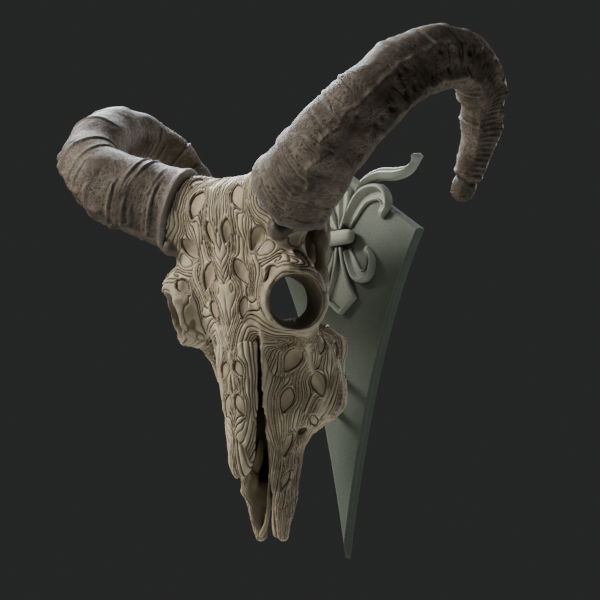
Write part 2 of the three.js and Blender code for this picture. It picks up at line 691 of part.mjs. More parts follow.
// Outline of the plaque, inset by a margin, from the peak round to the tip and back.
function plaqueOutline(inset) {
  const side = new THREE.QuadraticBezierCurve(
    new THREE.Vector2(PLAQUE_HALF - inset, -inset * 0.6),
    new THREE.Vector2(PLAQUE_WAIST[0] - inset, PLAQUE_WAIST[1]),
    new THREE.Vector2(0, PLAQUE_TIP + inset * 5),
  );
  const right = side.getPoints(PLAQUE_STEPS);
  const left = right.slice(0, -1).reverse().map((p) => new THREE.Vector2(-p.x, p.y));
  return [new THREE.Vector2(0, PLAQUE_PEAK - inset * 1.3), ...right, ...left];
}

function buildPlaque() {
  const levels = [[0, 0], [PLAQUE_BEVEL - PLAQUE_THICK, 0], [FACE_Y, PLAQUE_BEVEL]];
  return loft(levels.map(([y, inset]) => plaqueOutline(inset).map((p) => vec(p.x, y, p.y))));
}

// Flat ornament standing on the face of the plaque, with rounded upper edges.
function reliefOf(outline, thick, bevel) {
  const shape = new THREE.Shape(outline);
  const options = { depth: thick - bevel * 2, bevelThickness: bevel, bevelSize: bevel, bevelSegments: 2 };
  const geometry = new THREE.ExtrudeGeometry(shape, { ...options, bevelOffset: -bevel, curveSegments: 6 });
  geometry.rotateX(Math.PI / 2);
  geometry.translate(0, FACE_Y - GAP - bevel, 0);
  return geometryOf(solid(geometry));
}

// Room that an ornament keeps clear all round, through the full depth of the relief.
function clearanceOf(outline) {
  const options = { depth: RELIEF * 4, bevelThickness: GAP, bevelSize: GAP, bevelSegments: 1 };
  const geometry = new THREE.ExtrudeGeometry(new THREE.Shape(outline), options);
  return solid(geometry.rotateX(Math.PI / 2).translate(0, FACE_Y + RELIEF, 0));
}

// Ribbon along a curve in the plane of the plaque, with its own width at each place.
function ribbon(points, widthAt, steps) {
  const line = new THREE.SplineCurve(points.map(([x, z]) => new THREE.Vector2(x, z)));
  const near = [];
  const far = [];
  for (let i = 0; i <= steps; i += 1) {
    const t = i / steps;
    const p = line.getPoint(t);
    const d = line.getTangent(t);
    const half = widthAt(t) / 2;
    near.push(new THREE.Vector2(p.x - d.y * half, p.y + d.x * half));
    far.push(new THREE.Vector2(p.x + d.y * half, p.y - d.x * half));
  }
  return [...near, ...far.reverse()];
}

function buildLily() {
  const wave = (share) => Math.sin(Math.PI * Math.min(share, 1));
  const whole = (half) => {
    const other = half.filter(([x]) => x > 0).reverse().map(([x, z]) => [-x, z]);
    return [...half, ...other].map(([x, z]) => new THREE.Vector2(x, z));
  };
  const { half, height, bevel, corner } = BAND;
  const quarter = [[half - bevel, -height / 2], [half, -corner], [half, corner], [half - bevel, height / 2]];
  const petal = whole(PETAL);
  const tail = whole(TAIL);
  const pieces = {
    fleur_band: reliefOf(whole(quarter), BAND.relief, bevel),
    fleur_petal_centre: reliefOf(petal, RELIEF, RELIEF_BEVEL),
    fleur_tail: reliefOf(tail, RELIEF, RELIEF_BEVEL),
  };
  const scroll = ribbon(SCROLL, (t) => 3 + 9 * wave(t * 0.85 + 0.12) ** 1.2, RELIEF_STEPS);
  const leaf = ribbon(LEAF, (t) => 2.2 + 6.5 * wave(0.08 + 0.86 * t), RELIEF_STEPS);
  const curl = ribbon(CURL, (t) => 2.6 + 6.4 * wave(t * 0.9 + 0.1), RELIEF_STEPS);
  const sided = { scroll, leaf, curl };
  const beside = { scroll: [petal], leaf: [petal, scroll], curl: [tail] };
  for (const [name, outline] of Object.entries(sided)) {
    const full = reliefOf(outline, RELIEF + (name === "scroll" ? 1 : 0), RELIEF_BEVEL * 0.6);
    const clear = beside[name].reduce((body, other) => body.subtract(clearanceOf(other)), solid(full));
    const geometry = geometryOf(largest(clear));
    pieces[`fleur_${name}_left`] = geometry;
    pieces[`fleur_${name}_right`] = mirrored(geometry);
  }
  return pieces;
}

// Pin along the depth of the skull, with a margin all round where it makes its own socket.
function pinAt(z, margin) {
  const start = FACE_Y - GAP;
  const length = start - PIN.end + margin;
  const geometry = new THREE.CylinderGeometry(PIN.radius + margin, PIN.radius + margin, length, PIN.sides);
  return geometry.translate(PIN.x, start - length / 2, z);
}

const goatSkull = new THREE.Group();

function place(name, geometry, look) {
  const mesh = new THREE.Mesh(geometry, new THREE.MeshStandardMaterial(look));
  mesh.name = name;
  goatSkull.add(mesh);
}

for (const [name, body] of Object.entries(buildSkull())) {
  place(name, geometryOf(body), BONE);
}
const nasal = geometryOf(largest(solid(nasalBone())));
place("nasal_left", nasal, BONE);
place("nasal_right", mirrored(nasal), BONE);
for (const { name, geometry } of buildHorn()) {
  place(`horn_left_${name}`, geometry, HORN);
  place(`horn_right_${name}`, mirrored(geometry), HORN);
}
place("plaque", geometryOf(solid(buildPlaque())), SAGE);
for (const [name, geometry] of Object.entries(buildLily())) {
  place(name, geometry, SAGE);
}
for (const [name, z] of Object.entries(PINS)) {
  place(name, geometryOf(solid(pinAt(z, 0))), STEEL);
}

export default goatSkull;
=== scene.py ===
"""Dresses a horned goat skull on its wall plaque: carved bone, ringed horns and a painted lily in relief.

Sizes are millimetres in the part's frame: the wall is the plane y = 0, the face looks along -Y and +Z is up.
"""

import logging
import math
from dataclasses import dataclass, field
from enum import Enum, IntEnum
from typing import Callable

import bmesh
import bpy
import numpy as np
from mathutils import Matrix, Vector

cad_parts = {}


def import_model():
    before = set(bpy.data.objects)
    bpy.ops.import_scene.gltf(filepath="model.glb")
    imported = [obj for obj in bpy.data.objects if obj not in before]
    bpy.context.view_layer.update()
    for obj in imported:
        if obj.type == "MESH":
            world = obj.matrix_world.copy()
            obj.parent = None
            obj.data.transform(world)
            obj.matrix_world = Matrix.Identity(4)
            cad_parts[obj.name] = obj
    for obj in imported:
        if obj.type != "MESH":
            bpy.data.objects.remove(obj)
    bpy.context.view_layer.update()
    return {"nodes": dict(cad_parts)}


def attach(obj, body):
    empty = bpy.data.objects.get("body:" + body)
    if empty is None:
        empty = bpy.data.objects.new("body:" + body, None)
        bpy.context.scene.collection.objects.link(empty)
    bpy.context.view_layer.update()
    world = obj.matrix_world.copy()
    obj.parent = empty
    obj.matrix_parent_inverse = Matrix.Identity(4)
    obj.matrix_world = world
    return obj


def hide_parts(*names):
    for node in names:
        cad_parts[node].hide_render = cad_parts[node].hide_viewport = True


log = logging.getLogger("goat_skull")

MM = 0.001
BODY = "root"
UV_MAP = "Along"
MIRROR = np.array([-1.0, 1.0, 1.0])
Colour = tuple[float, float, float]
Point = tuple[float, float, float]
Span = tuple[float, float]
Face = tuple[int, ...]
Socket = bpy.types.NodeSocket
Value = Socket | float
Tint = Socket | Colour


class Slot(Enum):
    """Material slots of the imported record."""

    BONE = "bone"
    HORN = "horn"
    ORNAMENT = "ornament"


class Seed(IntEnum):
    """Seeds of the random draws, by what each one varies."""

    RIDGE_KNOBS = 21
    RING_WAVES = 22
    FINE_PATCHES = 23
    FINE_WAVES = 24
    HORN_SWELL = 25
    DENT_DEPTHS = 26
    HORN_GRAIN = 27
    CREASES = 28
    UNDER_FACE = 29
    DENT_STEPS = 30
    UPPER_STRANDS = 31
    WORN_BONE = 43
    WORN_GRAIN = 44
    LOWER_STRANDS = 57
    ISLANDS = 77
    CREASE_REACH = 100


class Side(Enum):
    """The two mirrored halves, by the animal's own left and right."""

    LEFT = 1
    RIGHT = -1

    @property
    def word(self) -> str:
        """Name of the half as the nodes spell it."""
        return self.name.lower()


# Small numeric helpers

def smoothstep(low: float, high: float, value: np.ndarray) -> np.ndarray:
    """Eases from 0 to 1 between two limits, which may stand in either order.

    Args:
        low: value that gives 0.
        high: value that gives 1.
        value: values to ease.

    Returns:
        Eased values between 0 and 1.
    """
    t = np.clip((value - low) / (high - low), 0.0, 1.0)
    return t * t * (3.0 - 2.0 * t)


def bell(distance: np.ndarray, width: float) -> np.ndarray:
    """Bell curve that is 1 at distance 0 and falls off over the width."""
    return np.exp(-((distance / width) ** 2))


class Ripple:
    """Smooth seeded noise in space, made of plane waves, about -1 to 1."""

    WAVES = 9

    def __init__(self, seed: int, wavelength: float) -> None:
        """Draws the waves.

        Args:
            seed: seed of the draw.
            wavelength: typical wavelength in millimetres.
        """
        draw = np.random.default_rng(seed)
        ways = draw.normal(size=(self.WAVES, 3))
        ways /= np.linalg.norm(ways, axis=1, keepdims=True)
        lengths = wavelength * draw.uniform(0.65, 1.6, size=(self.WAVES, 1))
        self.ways = ways * (2.0 * math.pi / lengths)
        self.phases = draw.uniform(0.0, 2.0 * math.pi, size=self.WAVES)

    def at(self, points: np.ndarray) -> np.ndarray:
        """Noise at points given in millimetres."""
        waves = np.sin(points @ self.ways.T + self.phases)
        return waves.sum(axis=1) / math.sqrt(self.WAVES)


def polyline_distance(points: np.ndarray, line: np.ndarray) -> np.ndarray:
    """Distance from each point to a line of straight stretches.

    Args:
        points: places to measure from.
        line: corners of the line.

    Returns:
        One distance for each point.
    """
    best = np.full(len(points), np.inf)
    for start, end in zip(line[:-1], line[1:]):
        way = end - start
        t = np.clip((points - start) @ way / (way @ way), 0.0, 1.0)
        best = np.minimum(best, np.linalg.norm(points - start - t[:, None] * way, axis=1))
    return best


def axis_measure(places: np.ndarray, centre: Point, axis: np.ndarray) -> tuple[np.ndarray, np.ndarray]:
    """Height along an axis and distance from it.

    Args:
        places: points to measure.
        centre: point on the axis.
        axis: unit vector along it.

    Returns:
        Heights and distances.
    """
    toward = places - np.array(centre)
    ahead = toward @ axis
    return ahead, np.sqrt(np.maximum((toward ** 2).sum(axis=1) - ahead ** 2, 0.0))


# Mesh helpers

@dataclass
class Surface:
    """Points and faces of a mesh in millimetres, with named values for each point."""

    points: np.ndarray
    faces: list[Face] | np.ndarray
    values: dict[str, np.ndarray] = field(default_factory=dict)
    uv: np.ndarray | None = None

    def on(self, side: Side) -> "Surface":
        """This surface of the left half, or its mirror image.

        Args:
            side: half that the piece stands on.

        Returns:
            Surface on that half.
        """
        if side is Side.LEFT:
            return self
        return Surface(self.points * MIRROR, [face[::-1] for face in self.faces], self.values, self.uv)


def tube_faces(rings: int, sides: int) -> list[Face]:
    """Faces of an open tube whose points stand ring after ring.

    Args:
        rings: number of rings.
        sides: points in each ring.

    Returns:
        Faces of four corners.
    """
    at = lambda i, j: i * sides + j % sides
    return [(at(i, j), at(i, j + 1), at(i + 1, j + 1), at(i + 1, j))
            for i in range(rings - 1) for j in range(sides)]


def end_fans(rings: int, sides: int) -> list[Face]:
    """Fans from the ends of a tube to two hubs, the points that follow its rings.

    Args:
        rings: number of rings.
        sides: points in each ring.

    Returns:
        Triangles of both fans.
    """
    hub, end = rings * sides, (rings - 1) * sides
    pairs = [(j, (j + 1) % sides) for j in range(sides)]
    return [(hub, b, a) for a, b in pairs] + [(hub + 1, end + a, end + b) for a, b in pairs]


def make_object(name: str, surface: Surface) -> bpy.types.Object:
    """Makes a smooth-shaded object of a surface and links it to the scene.

    Args:
        name: name of the piece.
        surface: its points, faces and values.

    Returns:
        The new object.
    """
    mesh = bpy.data.meshes.new(name)
    mesh.from_pydata((surface.points * MM).tolist(), [], [tuple(map(int, f)) for f in surface.faces])
    mesh.shade_smooth()
    for key, value in surface.values.items():
        layer = mesh.attributes.new(key, "FLOAT", "POINT")
        layer.data.foreach_set("value", np.ascontiguousarray(value, dtype=np.float32))
    if surface.uv is not None:
        corner = np.zeros(len(mesh.loops), dtype=np.int32)
        mesh.loops.foreach_get("vertex_index", corner)
        layer = mesh.uv_layers.new(name=UV_MAP)
        layer.data.foreach_set("uv", surface.uv[corner].astype(np.float32).ravel())
    mesh.update()
    piece = bpy.data.objects.new(name, mesh)
    bpy.context.scene.collection.objects.link(piece)
    return piece


def mesh_arrays(mesh: bpy.types.Mesh) -> tuple[np.ndarray, np.ndarray]:
    """Points and faces of a mesh.

    Args:
        mesh: mesh to read.

    Returns:
        Points in millimetres and faces of four corners (a triangle repeats its last one).
    """
    points = np.zeros(len(mesh.vertices) * 3)
    mesh.vertices.foreach_get("co", points)
    faces = np.array([(*p.vertices, p.vertices[-1])[:4] for p in mesh.polygons], dtype=np.int64)
    return points.reshape(-1, 3) / MM, faces


def read_object(piece: bpy.types.Object) -> tuple[np.ndarray, np.ndarray, np.ndarray]:
    """Evaluated shape of an object with its modifiers.

    Args:
        piece: object to read.

    Returns:
        Points in millimetres, faces of four corners and edges.
    """
    graph = bpy.context.evaluated_depsgraph_get()
    mesh = piece.evaluated_get(graph).to_mesh()
    points, faces = mesh_arrays(mesh)
    edges = np.zeros(len(mesh.edges) * 2, dtype=np.int64)
    mesh.edges.foreach_get("vertices", edges)
    piece.evaluated_get(graph).to_mesh_clear()
    return points, faces, edges.reshape(-1, 2)


def relax(points: np.ndarray, edges: np.ndarray, rounds: int) -> np.ndarray:
    """Evens out a mesh without shrinking it, by a smoothing step and a counter step in turn.

    Args:
        points: places of the vertices.
        edges: pairs of vertices.
        rounds: number of double steps.

    Returns:
        New places of the vertices.
    """
    pull, push = 0.55, -0.57
    count = len(points)
    degree = np.bincount(edges.ravel(), minlength=count)[:, None]
    first, second = edges[:, 0], edges[:, 1]
    for _ in range(rounds):
        for step in (pull, push):
            total = np.stack([
                np.bincount(first, points[second, k], count)
                + np.bincount(second, points[first, k], count)
                for k in range(3)
            ], axis=1)
            points = points + step * (total / degree - points)
    return points


def vertex_normals(points: np.ndarray, faces: np.ndarray) -> np.ndarray:
    """Unit normals of the vertices, weighted by the areas of their faces.

    Args:
        points: places of the vertices.
        faces: faces of four corners.

    Returns:
        One unit normal for each vertex.
    """
    a, b, c, d = (points[faces[:, k]] for k in range(4))
    across = np.cross(c - a, d - b)
    flat = faces[:, 2] == faces[:, 3]
    across[flat] = np.cross(b - a, c - a)[flat]
    total = np.stack([
        sum(np.bincount(faces[:, c], across[:, k], len(points)) for c in range(4)) for k in range(3)
    ], axis=1)
    return total / np.maximum(np.linalg.norm(total, axis=1, keepdims=True), 1e-12)


def tidy_face(face: np.ndarray) -> Face:
    """Face as a tuple, without the repeated corner of a triangle."""
    return tuple(face[:3]) if face[2] == face[3] else tuple(face)


def dress(piece: bpy.types.Object, material: bpy.types.Material) -> None:
    """Gives a piece its only material."""
    piece.data.materials.clear()
    piece.data.materials.append(material)


def seat(piece: bpy.types.Object, material: bpy.types.Material, slot: Slot) -> None:
    """Gives a new piece its material and lets it ride on the only body.

    Args:
        piece: piece to seat.
        material: its finish.
        slot: not used.
    """
    dress(piece, material)
    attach(piece, BODY)
    log.info("%s: %d faces", piece.name, len(piece.data.polygons))


# Shader helpers

class Graph:
    """Short way of adding linked nodes to a node tree."""

    def __init__(self, tree: bpy.types.NodeTree) -> None:
        """Keeps the tree that nodes are added to."""
        self.tree = tree

    def plug(self, node: bpy.types.Node, inputs: dict[str | int, Value | Tint]) -> None:
        """Links sources to a node's inputs, or sets plain values there.

        Args:
            node: node to feed.
            inputs: value or source socket for each input, by name or number.
        """
        for key, value in inputs.items():
            if isinstance(value, Socket):
                self.tree.links.new(value, node.inputs[key])
            else:
                node.inputs[key].default_value = value

    def add(self, kind: str, inputs: dict[str | int, Value | Tint] | None = None,
            **settings: object) -> bpy.types.Node:
        """Adds a node.

        Args:
            kind: type name of the node.
            inputs: value or source socket for each input, by name or number.
            settings: properties of the node.

        Returns:
            The node.
        """
        node = self.tree.nodes.new(kind)
        for key, value in settings.items():
            setattr(node, key, value)
        self.plug(node, inputs or {})
        return node

    def math(self, operation: str, *values: Value) -> Socket:
        """Result of a math node on values or sockets."""
        return self.add("ShaderNodeMath", dict(enumerate(values)), operation=operation).outputs[0]

    def ease(self, value: Value, low: float, high: float, out_low: float = 0.0,
             out_high: float = 1.0) -> Socket:
        """Value eased from one range into another.

        Args:
            value: socket to ease.
            low: value that gives out_low.
            high: value that gives out_high.
            out_low: result at low.
            out_high: result at high.

        Returns:
            Socket of the eased value.
        """
        inputs = {"Value": value, "From Min": low, "From Max": high,
                  "To Min": out_low, "To Max": out_high}
        return self.add("ShaderNodeMapRange", inputs, interpolation_type="SMOOTHSTEP").outputs[0]

    def mix(self, factor: Value, first: Tint, second: Tint) -> Socket:
        """Two colours mixed.

        Args:
            factor: share of the second colour.
            first: colour or socket.
            second: colour or socket.

        Returns:
            Socket of the mixed colour.
        """
        opaque = lambda tint: (*tint, 1.0) if isinstance(tint, tuple) else tint
        inputs = {0: factor, 6: opaque(first), 7: opaque(second)}
        return self.add("ShaderNodeMix", inputs, data_type="RGBA").outputs[2]

    def coats(self, colour: Tint, *coats: tuple[Socket, float, Colour]) -> Socket:
        """Colour under thin coats.

        Args:
            colour: colour to start from.
            coats: mask, strength and colour of each coat, from the lowest.

        Returns:
            Socket of the coated colour.
        """
        for mask, strength, tint in coats:
            colour = self.mix(self.math("MULTIPLY", mask, strength), colour, tint)
        return colour

    def value_of(self, name: str) -> Socket:
        """Named value that the mesh carries at each point."""
        return self.add("ShaderNodeAttribute", attribute_name=name).outputs["Fac"]

    def noise(self, vector: Socket, scale: Value, detail: float = 4.0, rough: float = 0.55) -> Socket:
        """Noise between 0 and 1.

        Args:
            vector: coordinates.
            scale: features for each unit of the coordinates.
            detail: octaves.
            rough: strength of the finer octaves.

        Returns:
            Socket of the noise.
        """
        inputs = {"Vector": vector, "Scale": scale, "Detail": detail, "Roughness": rough}
        return self.add("ShaderNodeTexNoise", inputs).outputs[0]

    def bumps(self, *steps: tuple[Socket, float, float]) -> Socket:
        """Normal tilted by heights, one upon the other.

        Args:
            steps: height from 0 to 1, share of the effect and full height in metres of each step.

        Returns:
            Socket of the normal.
        """
        inputs: dict[str | int, Value] = {}
        for height, strength, depth in steps:
            inputs.update({"Height": height, "Strength": strength, "Distance": depth})
            inputs["Normal"] = self.add("ShaderNodeBump", inputs).outputs[0]
        return inputs["Normal"]


class Effects:
    """Shader node groups that the finishes share, each built once."""

    hollow_reach: float = 0.012
    layer_edge: float = 0.06

    def __init__(self) -> None:
        """Builds the groups."""
        self.mottle = self._mottle()
        self.carving = self._carving()
        self.fibres = self._fibres()

    @staticmethod
    def _open(name: str, inputs: dict[str, float],
              outputs: tuple[str, ...]) -> tuple[Graph, dict[str, Socket], bpy.types.Node]:
        """Starts a group.

        Args:
            name: name of the group.
            inputs: names and defaults of its number inputs.
            outputs: names of its number outputs.

        Returns:
            Graph of the group, its input sockets by name and its output node.
        """
        tree = bpy.data.node_groups.new(name, "ShaderNodeTree")
        for key, default in inputs.items():
            socket = tree.interface.new_socket(key, in_out="INPUT", socket_type="NodeSocketFloat")
            socket.default_value = default
        for key in outputs:
            tree.interface.new_socket(key, in_out="OUTPUT", socket_type="NodeSocketFloat")
        graph = Graph(tree)
        start = graph.add("NodeGroupInput")
        end = graph.add("NodeGroupOutput")
        return graph, {key: start.outputs[key] for key in inputs}, end

    def _mottle(self) -> bpy.types.NodeTree:
        """Soft patches and fine specks from the object's own coordinates, and grime with painted shade,
        darker in the hollows by ambient occlusion.

        Returns:
            The node group.
        """
        graph, given, end = self._open(
            "Mottle", {"Patch": 40.0, "Speck": 900.0}, ("Patches", "Specks", "Grime"))
        place = graph.add("ShaderNodeTexCoord").outputs["Object"]
        patches = graph.noise(place, given["Patch"], 5.0, 0.6)
        specks = graph.noise(place, given["Speck"], 3.0, 0.7)
        # painted shade: ambient occlusion darkens the hollows, in patches like grime
        occlusion = graph.add("ShaderNodeAmbientOcclusion", {"Distance": self.hollow_reach}, samples=8)
        hollow = graph.ease(occlusion.outputs["AO"], 0.75, 0.25)
        graph.plug(end, {
            "Patches": graph.ease(patches, 0.3, 0.7),
            "Specks": graph.ease(specks, 0.35, 0.65),
            "Grime": graph.math("MULTIPLY", hollow, graph.ease(patches, 0.3, 0.6)),
        })
        return graph.tree

    def _carving(self) -> bpy.types.NodeTree:
        """Crisp carved lines from the strand values that the carver left on the mesh.

        Returns:
            The node group.
        """
        graph, given, end = self._open("Carved lines", {"Width": 0.7}, ("Line", "Strand", "Island"))
        width = given["Width"]

        def mark(distance: Socket) -> Socket:
            """Line that fades out over the given width."""
            return graph.ease(graph.math("DIVIDE", distance, width), 1.0, 0.25)

        def layer(key: str) -> tuple[Socket, Socket]:
            """Lines and crowns of one layer of strands.

            Args:
                key: name of the layer.

            Returns:
                Sockets of the lines and of the crowns.
            """
            apart = graph.math("PINGPONG", graph.value_of(f"strand_{key}"), 0.5)
            apart = graph.math("MULTIPLY", apart, graph.value_of(f"pitch_{key}"))
            line = graph.math("MULTIPLY", mark(apart), graph.value_of(f"weight_{key}"))
            return line, graph.ease(apart, 0.15, 0.9)

        over = graph.value_of("over")
        top = graph.ease(over, -self.layer_edge, self.layer_edge)
        (upper, upper_crown), (lower, lower_crown) = layer("upper"), layer("lower")

        def pick(above: Socket, under: Socket) -> Socket:
            """Value of whichever layer lies on top."""
            rest = graph.math("MULTIPLY", under, graph.math("SUBTRACT", 1.0, top))
            return graph.math("ADD", graph.math("MULTIPLY", above, top), rest)

        seam = graph.math("MULTIPLY", mark(graph.math("ABSOLUTE", over)), 0.35)
        place = graph.add("ShaderNodeTexCoord").outputs["Object"]
        living = graph.ease(graph.noise(place, 120.0, 2.0, 0.5), 0.30, 0.42, 0.15, 1.0)
        rim, share = graph.value_of("rim"), graph.value_of("carve")
        outside = graph.ease(rim, 0.0, 0.5)
        line = graph.math("MULTIPLY", graph.math("MAXIMUM", pick(upper, lower), seam), living)
        border = mark(graph.math("ABSOLUTE", rim))
        masks = {
            "Line": graph.math("MAXIMUM", graph.math("MULTIPLY", line, outside), border),
            "Strand": graph.math("MULTIPLY", pick(upper_crown, lower_crown), outside),
            "Island": graph.ease(rim, 0.0, -0.9),
        }
        graph.plug(end, {key: graph.math("MULTIPLY", mask, share) for key, mask in masks.items()})
        return graph.tree

    def _fibres(self) -> bpy.types.NodeTree:
        """Crossed fibres, wrinkles, streaks and broken cracks of a horn, by the UV map that runs with it.

        Returns:
            The node group.
        """
        graph, given, end = self._open(
            "Horn fibres", {"Weave": 1.0}, ("Fibre", "Wrinkle", "Streak", "Crack"))
        place = graph.add("ShaderNodeUVMap", uv_map=UV_MAP).outputs[0]

        def turned(seed: float, turn: float, scale: Span) -> Socket:
            """Coordinates moved by a seed, turned and then stretched."""
            return graph.add("ShaderNodeMapping", {
                "Vector": place, "Location": (seed * 9.0, seed * 7.0, 0.0),
                "Rotation": (0.0, 0.0, turn),
                "Scale": (1.0 / scale[0], 1.0 / scale[1], 1.0)}, vector_type="TEXTURE").outputs[0]

        def threads(seed: float, turn: float, scale: Span, thin: float) -> Socket:
            """Thin lines where a stretched noise passes its middle value.

            Args:
                seed: place in the noise.
                turn: turn of the lines in radians.
                scale: waves for each millimetre across and along.
                thin: half width in the noise's own values.

            Returns:
                Socket of the lines.
            """
            wave = graph.noise(turned(seed, turn, scale), 1.0, 1.5, 0.5)
            off = graph.math("ABSOLUTE", graph.math("SUBTRACT", wave, 0.5))
            return graph.ease(off, thin, thin * 0.25)

        def streaks(seed: float, scale: Span, detail: float, rough: float, *limits: float) -> Socket:
            """Streaks of a stretched noise between two of its values."""
            return graph.ease(graph.noise(turned(seed, 0.0, scale), 1.0, detail, rough), *limits)

        fibre = threads(3.0, 0.25, (0.05, 0.30), 0.034)
        for seed, turn in ((11.0, 0.95), (23.0, -0.75), (71.0, 1.6)):
            fibre = graph.math("MAXIMUM", fibre, threads(seed, turn, (0.06, 0.33), 0.033))
        for seed, size in ((61.0, 0.62), (83.0, 0.34)):
            cells = graph.add("ShaderNodeTexVoronoi", {
                "Vector": turned(seed, 0.4, (size, size * 1.35)), "Scale": 1.0, "Randomness": 1.0},
                feature="DISTANCE_TO_EDGE").outputs["Distance"]
            fibre = graph.math("MAXIMUM", fibre, graph.ease(cells, 0.13, 0.04, 0.0, 0.5))
        patchy = graph.ease(graph.noise(place, 0.05, 3.0, 0.6), 0.36, 0.60, 0.25, 1.0)
        breaks = streaks(41.0, (0.045, 0.03), 2.0, 0.5, 0.47, 0.58)
        graph.plug(end, {
            "Fibre": graph.math("MULTIPLY", graph.math("MULTIPLY", fibre, patchy), given["Weave"]),
            "Wrinkle": streaks(5.0, (0.03, 0.42), 5.0, 0.65, 0.35, 0.65),
            "Streak": streaks(9.0, (0.10, 0.012), 4.0, 0.6, 0.35, 0.7),
            "Crack": graph.math("MULTIPLY", threads(17.0, 0.06, (0.012, 0.11), 0.012), breaks),
        })
        return graph.tree


class Finish:
    """Base of the finishes: a material with one Principled shader."""

    name = "finish"

    def __init__(self, effects: Effects) -> None:
        """Keeps the shared effects."""
        self.effects = effects

    def make(self) -> bpy.types.Material:
        """Makes the material.

        Returns:
            The finished material.
        """
        material = bpy.data.materials.new(self.name)
        material.use_nodes = True
        graph = Graph(material.node_tree)
        shader = material.node_tree.nodes["Principled BSDF"]
        self.wire(graph, shader)
        return material

    def group(self, graph: Graph, tree: bpy.types.NodeTree, **inputs: float) -> bpy.types.NodeOutputs:
        """Places a shared effect with its own values and returns its outputs."""
        return graph.add("ShaderNodeGroup", inputs, node_tree=tree).outputs

    def wire(self, graph: Graph, shader: bpy.types.Node) -> None:
        """Links the material's nodes to its shader.

        Args:
            graph: nodes of the material.
            shader: its shader.
        """
        raise NotImplementedError


class CarvedBone(Finish):
    """Dry cream bone with carved lines that hold dark stain, with painted shade in its hollows and a painted
    highlight on its crests.
    """

    name = "carved_bone"
    cream: Colour = (0.70, 0.595, 0.415)
    warm: Colour = (0.55, 0.44, 0.285)
    island: Colour = (0.44, 0.35, 0.24)
    pale: Colour = (0.85, 0.755, 0.56)
    # dark stain of the carved lines, also used for the painted shade in the hollows
    stain: Colour = (0.030, 0.021, 0.014)
    horny: Colour = (0.10, 0.082, 0.068)
    rough: Span = (0.46, 0.62)
    line_rough: float = 0.2

    def wire(self, graph: Graph, shader: bpy.types.Node) -> None:
        """Colours the strands, islands and grooves, paints shade into the hollows and a highlight onto the
        crests, and adds pores.

        Args:
            graph: nodes of the material.
            shader: its shader.
        """
        mottle = self.group(graph, self.effects.mottle, Patch=55.0, Speck=1400.0)
        carving = self.group(graph, self.effects.carving, Width=0.55)
        specks, line = mottle["Specks"], carving["Line"]
        colour = graph.coats(
            graph.mix(mottle["Patches"], self.cream, self.warm),
            (carving["Island"], 0.62, self.island),
            (carving["Strand"], 0.45, self.pale),
            (specks, 0.16, self.warm),
            # painted shade and grime in the hollows, from ambient occlusion
            (mottle["Grime"], 0.80, self.stain),
            # painted highlight: the raised crests are painted paler
            (graph.value_of("crest"), 0.5, self.pale),
            (line, 0.90, self.stain),
            # painted shade in the eye sockets, temples, nose cavity and pit, on the eye rims and under the
            # horns
            (graph.value_of("inner"), 0.66, self.stain),
            (graph.value_of("boss"), 0.92, self.horny),
        )
        rough = graph.ease(specks, 0.0, 1.0, *self.rough)
        graph.plug(shader, {
            "Base Color": colour,
            "Roughness": graph.math("ADD", rough, graph.math("MULTIPLY", line, self.line_rough)),
            "Normal": graph.bumps((specks, 0.30, 0.00025), (graph.math("SUBTRACT", 1.0, line), 0.8, 0.0006)),
        })
        shader.inputs["Specular IOR Level"].default_value = 0.38


class RingedHorn(Finish):
    """Dull brown-grey horn with pale crossed fibres, wrinkles and cracks, painted shade in its dents, creases
    and under-face, and a dark tip.
    """

    name = "ringed_horn"
    brown: Colour = (0.056, 0.036, 0.022)
    grey: Colour = (0.082, 0.062, 0.045)
    fibre: Colour = (0.34, 0.275, 0.205)
    lip: Colour = (0.27, 0.245, 0.215)
    # dark of the streaks and cracks, also used for the painted shade
    dark: Colour = (0.022, 0.017, 0.014)
    rough: Span = (0.52, 0.74)

    def wire(self, graph: Graph, shader: bpy.types.Node) -> None:
        """Colours the streaks, fibres and cracks, paints shade into the dents, creases and under-face,
        darkens the tip and adds the wrinkles.

        Args:
            graph: nodes of the material.
            shader: its shader.
        """
        mottle = self.group(graph, self.effects.mottle, Patch=38.0, Speck=1100.0)
        fibres = self.group(graph, self.effects.fibres, Weave=1.0)
        specks, crack = mottle["Specks"], fibres["Crack"]
        colour = graph.coats(
            graph.mix(mottle["Patches"], self.brown, self.grey),
            (fibres["Streak"], 0.5, self.dark),
            (fibres["Wrinkle"], 0.12, self.grey),
            (fibres["Fibre"], 0.55, self.fibre),
            (graph.value_of("lip"), 0.75, self.lip),
            # painted shade and grime in the hollows
            (mottle["Grime"], 0.7, self.dark),
            (crack, 0.8, self.dark),
            # painted shade in the dents, creases and under-face, a darker root, and the tip's own dark end
            (graph.value_of("dent"), 0.85, self.dark),
        )
        normal = graph.bumps(
            (fibres["Wrinkle"], 0.15, 0.0005),
            (fibres["Fibre"], 0.6, 0.0004),
            (graph.math("SUBTRACT", 1.0, crack), 0.8, 0.0008),
            (specks, 0.25, 0.0002),
        )
        rough = graph.ease(specks, 0.0, 1.0, *self.rough)
        graph.plug(shader, {"Base Color": colour, "Roughness": rough, "Normal": normal})
        shader.inputs["Specular IOR Level"].default_value = 0.3


